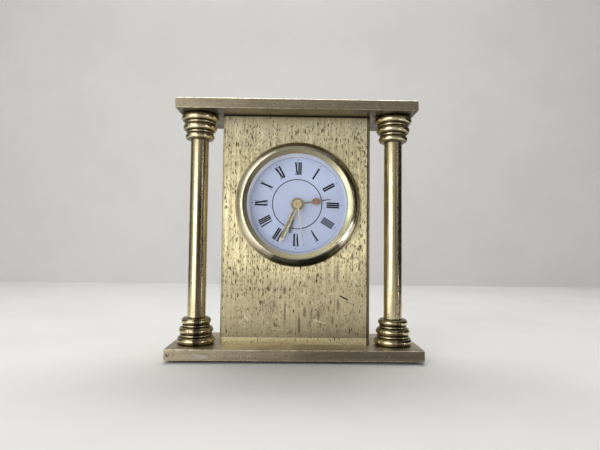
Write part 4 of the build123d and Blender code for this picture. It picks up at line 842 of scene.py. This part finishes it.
ring_white, shader, mm = open_material("ring_white", 0.35)
cloud = use(patina, mm, Size=6.0)
radius, sine, cosine = dial_polar(mm)
# Painted highlight: the ring is lighter at the left.
painted_light_left = towards_hour(sine, cosine, 9.8, -0.3)
# A painted shadow line in the crevice at the ring's outer edge, on the right.
crevice_shadow = times(ramp(radius, *RING_CREVICE_SHADOW), towards_hour(sine, cosine, 3.6, -0.1))
colour = blend(painted_light_left, shade(0.66, 0.71, 0.84), shade(0.98, 0.99, 1.0))
colour = coats(
    colour,
    (cloud["Clouds"], 0.5, (0.62, 0.66, 0.78)),
    (crevice_shadow, 0.7, (0.22, 0.20, 0.20)),
)
feed(shader, Base_Color=colour)
bump(shader, cloud["Mottle"], 0.004)
finish_node("dial_ring", ring_white)
print("ring finished")

# %% [markdown]
# ## The lens
# The lens is a flat disc of clear plastic. Real glass in a ray tracer keeps lamp light off
# whatever lies behind it, so shadow and diffuse rays get a transparent shader instead. Camera and
# mirror rays still meet glass, which keeps its reflections.

# %% Material of the lens
lens_clear, shader, mm = open_material("lens_clear", 0.02, Transmission_Weight=1.0, IOR=1.3,
                                       Specular_IOR_Level=0.3, Base_Color=shade(0.97, 0.98, 1.0))
wiped = use(patina, mm, Size=5.0)["Clouds"]
feed(shader, Roughness=times(wiped, 0.03))
bump(shader, wiped, 0.002)
rays = add("LightPath", tree=lens_clear.node_tree).outputs
soft_rays = larger(rays["Is Shadow Ray"], rays["Is Diffuse Ray"])
clear = add("BsdfTransparent", tree=lens_clear.node_tree)
mixer = add("MixShader", _0=soft_rays, _1=shader.outputs[0], _2=clear.outputs[0])
fill(lens_clear.node_tree.nodes["Material Output"].inputs["Surface"], mixer.outputs[0])
finish_node("lens", lens_clear)
print("lens finished")

# %% [markdown]
# ## Printing on the dial
# The hours are Roman numerals that stand with their feet to the centre, so the lower ones read
# upside down, and four is IIII as on most clocks. In this style one diagonal of V and X is thick
# and the other a hairline. A font could be used, but a numeral is only a few straight strokes.
# Each stroke is a flat bar given the thickness of ink.

# %% Helper for a stroke of ink
INK = 0.02
DIAL_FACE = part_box("dial_plate")[0][1] / MM
NUMERAL_FOOT = 12.0
NUMERAL_HEIGHT = 5.1


def thicken(bm, faces, way):
    """Gives flat faces their thickness, half of which later lies in the dial."""
    raised = bmesh.ops.extrude_face_region(bm, geom=faces)
    moved = [part for part in raised["geom"] if isinstance(part, bmesh.types.BMVert)]
    bmesh.ops.translate(bm, verts=moved, vec=Vector(way) * 2 * INK)


def stroke(bm, start, end, width, start_width=None):
    """One flat bar of ink between two points, cut off level at both ends. u is across, v is up."""
    start_half, end_half = (start_width or width) / 2, width / 2
    corners = [(start[0] - start_half, start[1]), (start[0] + start_half, start[1]),
               (end[0] + end_half, end[1]), (end[0] - end_half, end[1])]
    thicken(bm, [bm.faces.new([bm.verts.new((u, 0, v)) for u, v in corners])], (0, -1, 0))


print("ink is", 2 * INK, "mm thick, and half of it lies in the dial")

# %% Helpers that finish a piece
def place_in_scene(name, bm, material):
    """Turns a bmesh in mm into an object."""
    bmesh.ops.scale(bm, vec=(MM, MM, MM), verts=bm.verts)
    mesh = bpy.data.meshes.new(name)
    bm.to_mesh(mesh)
    bm.free()
    mesh.materials.append(material)
    made = bpy.data.objects.new(name, mesh)
    bpy.context.scene.collection.objects.link(made)
    return made


def new_piece(name, bm, material, body):
    """Finishes a piece that rides on a body."""
    bmesh.ops.remove_doubles(bm, verts=bm.verts, dist=1e-5)
    bmesh.ops.recalc_face_normals(bm, faces=bm.faces)
    piece = place_in_scene(name, bm, material)
    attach(piece, body)
    print(f"{name}: {len(piece.data.polygons)} faces")
    return piece


print("pieces can be finished")

# %% Draw the three letters
THICK, THINNER, THIN, HAIR, SERIF = 0.72, 0.64, 0.42, 0.15, 0.85
LETTER_WIDTH = {"I": 0.88, "V": 1.42, "X": 1.5}
LEFT_INSET, RIGHT_INSET = 0.30, 0.26


def serif(bm, u, v):
    stroke(bm, (u, v - HAIR / 2), (u, v + HAIR / 2), SERIF)


def letter(bm, sign, u, thick=THICK):
    """Draws one letter whose left edge is at u."""
    top = NUMERAL_HEIGHT
    width = LETTER_WIDTH[sign]
    middle = u + width / 2
    left, right = u + LEFT_INSET, u + width - RIGHT_INSET
    low, high = HAIR / 2, top - HAIR / 2
    if sign == "I":
        stroke(bm, (middle, 0), (middle, top), thick)
        ends = [(middle, low), (middle, high)]
    elif sign == "V":
        stroke(bm, (middle, 0), (left, top), THICK, THIN)
        stroke(bm, (middle, 0), (right, top), HAIR)
        ends = [(left, high), (right, high)]
    else:
        stroke(bm, (right, 0), (left, top), THICK)
        stroke(bm, (left, 0), (right, top), HAIR)
        ends = [(left, high), (right, high), (left, low), (right, low)]
    for place in ends:
        serif(bm, *place)


print("letters are", NUMERAL_HEIGHT, "mm high")

# %% Set the twelve numerals round the dial
HOURS = ("XII", "I", "II", "III", "IIII", "V", "VI", "VII", "VIII", "IX", "X", "XI")
PRINT_TURN = 1.4
PRINT_CENTRE = (0.4, 61.45)
SQUEEZED = {"III": 2.45, "IIII": 2.85, "VIII": 3.3, "XII": 2.85, "VII": 2.9}


def set_on_dial(bm):
    bmesh.ops.translate(bm, verts=bm.verts, vec=(PRINT_CENTRE[0], DIAL_FACE + INK, PRINT_CENTRE[1]))


ink, shader, mm = open_material("printing_ink", 0.6, Specular_IOR_Level=0.1)
worn = use(patina, mm, Size=1.2)["Mottle"]
feed(shader, Base_Color=blend(worn, shade(0.003, 0.003, 0.005), shade(0.008, 0.008, 0.012)))
bump(shader, worn, 0.003)

bm = bmesh.new()
for hour, numeral in enumerate(HOURS):
    part = bmesh.new()
    reach = 0.0
    for sign in numeral:
        letter(part, sign, reach, THINNER if numeral == "IIII" else THICK)
        reach += LETTER_WIDTH[sign]
    bmesh.ops.translate(part, verts=part.verts, vec=(-reach / 2, 0, NUMERAL_FOOT))
    squeeze = SQUEEZED.get(numeral, reach) / reach
    bmesh.ops.scale(part, verts=part.verts, vec=(squeeze, 1, 1))
    turn = Matrix.Rotation(math.radians(HOUR_ANGLE * hour + PRINT_TURN), 3, "Y")
    bmesh.ops.rotate(part, verts=part.verts, matrix=turn)
    kept = bpy.data.meshes.new("numeral")
    part.to_mesh(kept)
    part.free()
    bm.from_mesh(kept)
    bpy.data.meshes.remove(kept)
set_on_dial(bm)
numerals = new_piece("hour_numerals", bm, ink, "frame")

# %% [markdown]
# A thin ring is printed inside the numerals, and a fine dot outside each of them. The ring is two
# circles joined by a band, then given the thickness of ink.

# %% The printed ring and dots
RING_RADIUS, RING_WIDTH = 10.03, 0.36
RING_SEGMENTS, DOT_SEGMENTS = 128, 12
DOT_RADIUS, DOT_PLACE = 0.2, 18.1

bm = bmesh.new()
for ring_edge in (RING_RADIUS - RING_WIDTH / 2, RING_RADIUS + RING_WIDTH / 2):
    bmesh.ops.create_circle(bm, segments=RING_SEGMENTS, radius=ring_edge)
band = bmesh.ops.bridge_loops(bm, edges=bm.edges)
thicken(bm, band["faces"], (0, 0, 1))
for hour in range(len(HOURS)):
    turn = Matrix.Rotation(math.radians(HOUR_ANGLE * hour - PRINT_TURN), 4, "Z")
    bmesh.ops.create_cone(bm, cap_ends=True, segments=DOT_SEGMENTS, radius1=DOT_RADIUS, radius2=DOT_RADIUS,
                          depth=2 * INK, matrix=turn @ Matrix.Translation((0, DOT_PLACE, INK)))
bmesh.ops.rotate(bm, verts=bm.verts, matrix=Matrix.Rotation(math.radians(90), 3, "X"))
set_on_dial(bm)
dial_ring_print = new_piece("dial_ring_and_dots", bm, ink, "frame")

# %% [markdown]
# ## Parts inside and behind
# The movement is moulded in plastic with a fine spark-eroded grain, its wheels are natural nylon,
# its rods and rotor are steel, and its coil is fine copper wire. One function makes a moulded
# plastic and another a plain metal.

# %% Moulded plastic
def moulded(name, dark, light, roughness=0.45, grain=0.012, size=6.0):
    material, shader, mm = open_material(name, roughness)
    cloud = use(patina, mm, Size=size)
    colour = blend(cloud["Clouds"], shade(*dark), shade(*light))
    colour = coats(colour, (cloud["Mottle"], 0.25, light))
    feed(shader, Base_Color=colour, Roughness=total(roughness - 0.06, (cloud["Clouds"], 0.12)))
    bump(shader, noise(mm, 5.0, 3.0, 0.6), grain)
    return material


print("moulded plastic ready")

# %% Plain metal, and the cross in a screw's head
SCREW_HEAD = 1.8
CROSS_WIDTH, CROSS_LENGTH = (0.34, 0.2), (1.2, 1.0)
CROSS_DEPTH = 20.0  # times the depth of the metal's own grain


def cross_recess(mm):
    """The cross recess in each of the four round heads at the corners of the rear cover."""
    centre, half_size = box_in_mm("rear_cover_screws")
    parts = axes(mm)
    near = []
    for axis in (0, 2):
        from_middle = calc("ABSOLUTE", minus(parts[axis], centre[axis]))
        near.append(calc("ABSOLUTE", minus(from_middle, half_size[axis] - SCREW_HEAD)))
    arms = [times(ramp(across, *CROSS_WIDTH), ramp(along, *CROSS_LENGTH))
            for across, along in (near, near[::-1])]
    return larger(*arms)


def plain_metal(name, dark, light, roughness=0.3, lines=(0.5, 0.5, 3.0), recess=False):
    material, shader, mm = open_material(name, roughness, 1.0)
    cloud = use(patina, mm, Size=4.0)
    line = use(brushing, mm, Stretch=lines)
    spots = use(spotting_round, mm, Stretch=(1.2, 1.2, 1.2), Share=0.25, Size=0.25, Raggedness=0.6)
    colour = blend(cloud["Clouds"], shade(*dark), shade(*light))
    colour = coats(colour, (line["Tone"], 0.3, light), (spots["Mask"], 0.4, (0.1, 0.09, 0.08)))
    height = line["Height"]
    if recess:
        cross = cross_recess(mm)
        # The recess is painted near black as its shade, and sunk by the bump.
        colour = coats(colour, (cross, 1, (0.03, 0.025, 0.02)))
        height = minus(height, times(cross, CROSS_DEPTH))
    feed(shader, Base_Color=colour, Roughness=total(roughness - 0.05, (cloud["Clouds"], 0.12)))
    bump(shader, height, 0.008)
    return material


print("plain metal ready")

# %% Finish the parts inside and behind
DULL_BRASS, BARE_BRASS = (0.62, 0.50, 0.28), (0.78, 0.66, 0.40)

INSIDE = {
    moulded("movement_black", (0.018, 0.018, 0.019), (0.035, 0.035, 0.036)):
        ("movement_front_housing", "movement_rear_housing", "battery_cover", "gear_bridge", "clock_chip"),
    moulded("knob_black", (0.022, 0.022, 0.024), (0.045, 0.045, 0.047), 0.35, 0.006, 3.0):
        ("time_set_knob", "alarm_set_knob", "alarm_switch"),
    moulded("wheel_nylon", (0.72, 0.71, 0.66), (0.80, 0.79, 0.75), 0.4, 0.006, 4.0):
        ("intermediate_wheel", "seconds_wheel", "third_wheel", "centre_wheel", "cannon_pinion",
         "minute_wheel", "hour_wheel", "alarm_wheel", "time_set_arbor", "alarm_set_arbor", "coil_bobbin"),
    moulded("board_green", (0.02, 0.12, 0.06), (0.03, 0.17, 0.08), 0.3, 0.01, 3.0): ("circuit_board",),
    moulded("felt_dark", (0.02, 0.035, 0.028), (0.04, 0.06, 0.05), 0.95, 0.12, 3.0): ("base_felt",),
    moulded("cell_jacket", (0.10, 0.10, 0.11), (0.16, 0.16, 0.17), 0.3, 0.004, 8.0): ("battery_cell",),
    plain_metal("rod_steel", (0.50, 0.50, 0.49), (0.62, 0.61, 0.59)):
        ("left_tie_rod", "right_tie_rod", "tie_rod_nuts", "case_screws", "crystal_can"),
    plain_metal("screw_brass", DULL_BRASS, BARE_BRASS, 0.3, (1.5, 1.5, 1.5), True): ("rear_cover_screws",),
    plain_metal("disc_brass", DULL_BRASS, BARE_BRASS): ("buzzer_disc",),
    plain_metal("stator_steel", (0.34, 0.34, 0.35), (0.46, 0.46, 0.47)): ("stator", "rotor"),
    plain_metal("copper_wire", (0.60, 0.27, 0.13), (0.80, 0.40, 0.22), 0.3, (6.0, 0.3, 0.3)):
        ("coil_winding",),
    plain_metal("contact_nickel", (0.62, 0.60, 0.56), (0.75, 0.73, 0.69), 0.25):
        ("alarm_contact_spring", "battery_contact_positive", "battery_contact_negative"),
}
for material, names in INSIDE.items():
    for name in names:
        finish_node(name, material)
    print(material.name, "on", len(names), "nodes")

# %% [markdown]
# ## The studio
# The clock stands on a pale floor before a pale wall. One soft lamp at the front left gives the
# tubes their upright highlight and leaves the right side darker. Others fill the left, the right,
# the top and the wall. Their level is the one at which a colour renders about as it is written.

# %% Floor and wall
LEFT_END, RIGHT_END, NEAR_END, FAR_END = -900, 900, -900, 900
WALL_PLACE, WALL_HEIGHT = 330, 900
WIDE_CLOUDS, CARD_CLOUDS = 60.0, 40.0


def flat_sheet(name, corners, material):
    bm = bmesh.new()
    bm.faces.new([bm.verts.new(corner) for corner in corners])
    sheet = place_in_scene(name, bm, material)
    return sheet


def matt(name, first, second, size, glow=0.0):
    """A matt material, clouded between two colours. It gives light if it glows."""
    material, shader, mm = open_material(name, 0.9, Specular_IOR_Level=0.0)
    colour = blend(use(patina, mm, Size=size)["Clouds"], shade(*first), shade(*second))
    feed(shader, Base_Color=colour)
    if glow:
        feed(shader, Emission_Color=colour, Emission_Strength=glow)
    return material


floor_pale = matt("floor_pale", (0.80, 0.79, 0.77), (0.77, 0.76, 0.74), WIDE_CLOUDS)
flat_sheet("studio_floor", [(LEFT_END, NEAR_END, 0), (RIGHT_END, NEAR_END, 0),
                            (RIGHT_END, FAR_END, 0), (LEFT_END, FAR_END, 0)], floor_pale)
flat_sheet("studio_wall", [(LEFT_END, WALL_PLACE, 0), (RIGHT_END, WALL_PLACE, 0),
                           (RIGHT_END, WALL_PLACE, WALL_HEIGHT), (LEFT_END, WALL_PLACE, WALL_HEIGHT)],
           floor_pale)
print("floor and wall set")

# %% Room light
ROOM_LEFT, ROOM_FRONT, ROOM_RIGHT, ROOM_HIGH = 0.6, 0.5, 0.16, 0.5

room = bpy.data.worlds.new("studio_room")
room.use_nodes = True
way = axes(add("TexCoord", tree=room.node_tree).outputs["Generated"])
level = ramp(way[0], -0.7, 0.0, ROOM_LEFT, ROOM_FRONT)
level = times(level, ramp(way[0], 0.0, 0.6, 1.0, ROOM_RIGHT / ROOM_FRONT))
level = times(level, ramp(way[2], 0.25, 0.75, 1.0, ROOM_HIGH))
fill(room.node_tree.nodes["Background"].inputs["Color"], level)
bpy.context.scene.world = room
print("room light from", ROOM_LEFT, "at the left to", ROOM_RIGHT, "at the right")

# %% Lamps
AIM = Vector((0, 0, 50)) * MM


def soft_lamp(name, azimuth, elevation, distance, width, height, radiance, aim=AIM):
    """A rectangular soft lamp, at an azimuth from the clock's front, positive to its right."""
    lamp = bpy.data.lights.new(name, "AREA")
    lamp.shape = "RECTANGLE"
    lamp.size, lamp.size_y = width * MM, height * MM
    lamp.energy = radiance * math.pi * width * height * MM * MM
    holder = bpy.data.objects.new(name, lamp)
    turn, rise = math.radians(azimuth), math.radians(elevation)
    towards = Vector((math.sin(turn) * math.cos(rise), -math.cos(turn) * math.cos(rise), math.sin(rise)))
    holder.location = aim + towards * distance * MM
    holder.rotation_euler = towards.to_track_quat("Z", "Y").to_euler()
    holder.visible_camera = False
    bpy.context.scene.collection.objects.link(holder)
    print(f"{name}: {lamp.energy:.2f} W")


soft_lamp("key_lamp", -34, 3.5, 480, 330, 180, 3.4)
soft_lamp("high_left_lamp", -48, 36, 520, 270, 270, 1.9)
soft_lamp("fill_lamp", 50, 5, 520, 75, 150, 5.5)
soft_lamp("top_lamp", 180, 74, 650, 520, 520, 2.7)
soft_lamp("wall_lamp", 180, 40, 300, 600, 120, 4.0, aim=Vector((0, WALL_PLACE - 400, 300)) * MM)

# %% [markdown]
# A photographer keeps polished metal from washing out with dark cards that only the metal sees.
# One lies on the floor at the front and one stands at either side. No other ray meets them, so
# they neither show nor cast a shadow.

# %% Dark cards
CARD_LIGHTER = 1.3


def mirrored_sheet(name, corners, material):
    """A sheet that is only seen mirrored in the metal."""
    sheet = flat_sheet(name, corners, material)
    for ray in ("camera", "diffuse", "shadow", "transmission"):
        setattr(sheet, "visible_" + ray, False)


def dark_card(name, level, corners):
    mirrored_sheet(name, corners, matt(name, [level] * 3, [level * CARD_LIGHTER] * 3, CARD_CLOUDS))


dark_card("floor_card", 0.10, [(2, -20, 0.6), (160, -20, 0.6), (160, -80, 0.6), (2, -42, 0.6)])
dark_card("right_card", 0.03, [(225, -190, 0), (225, 160, 0), (225, 160, 260), (225, -190, 260)])
dark_card("left_card", 0.12, [(-260, -50, 0), (-260, 160, 0), (-260, 160, 260), (-260, -50, 260)])
print("dark cards set")

# %% [markdown]
# White boards that glow do the opposite: they give light of their own, and only the metal sees
# them. A large one on the floor at the front left carries the key lamp's reflection down to the foot
# of the tubes and of the case. At the right a small upright one and a long low one give the turned
# rings and the bezel their second, sharper glint.

# %% Glowing white boards
WHITE, OFF_WHITE = (1.0, 1.0, 1.0), (0.94, 0.94, 0.94)


def glowing_board(name, level, corners):
    mirrored_sheet(name, corners, matt(name, WHITE, OFF_WHITE, WIDE_CLOUDS, level))


glowing_board("floor_board", 1.0, [(-52, -42, 0.5), (-150, -38, 0.5), (-520, -460, 0.5), (-100, -460, 0.5)])
glowing_board("glint_board", 6.0, [(196, -102, 2), (214, -76, 2), (214, -76, 18), (196, -102, 18)])
glowing_board("low_glint_board", 2.2, [(98, -150, 0.8), (116, -150, 0.8), (118, -24, 0.8), (94, -24, 0.8)])
print("white boards set")

# %% [markdown]
# ## Finish
# The view layer is brought up to date. Nothing added here may make the clock larger than its CAD
# model.

# %% Finish
bpy.context.view_layer.update()
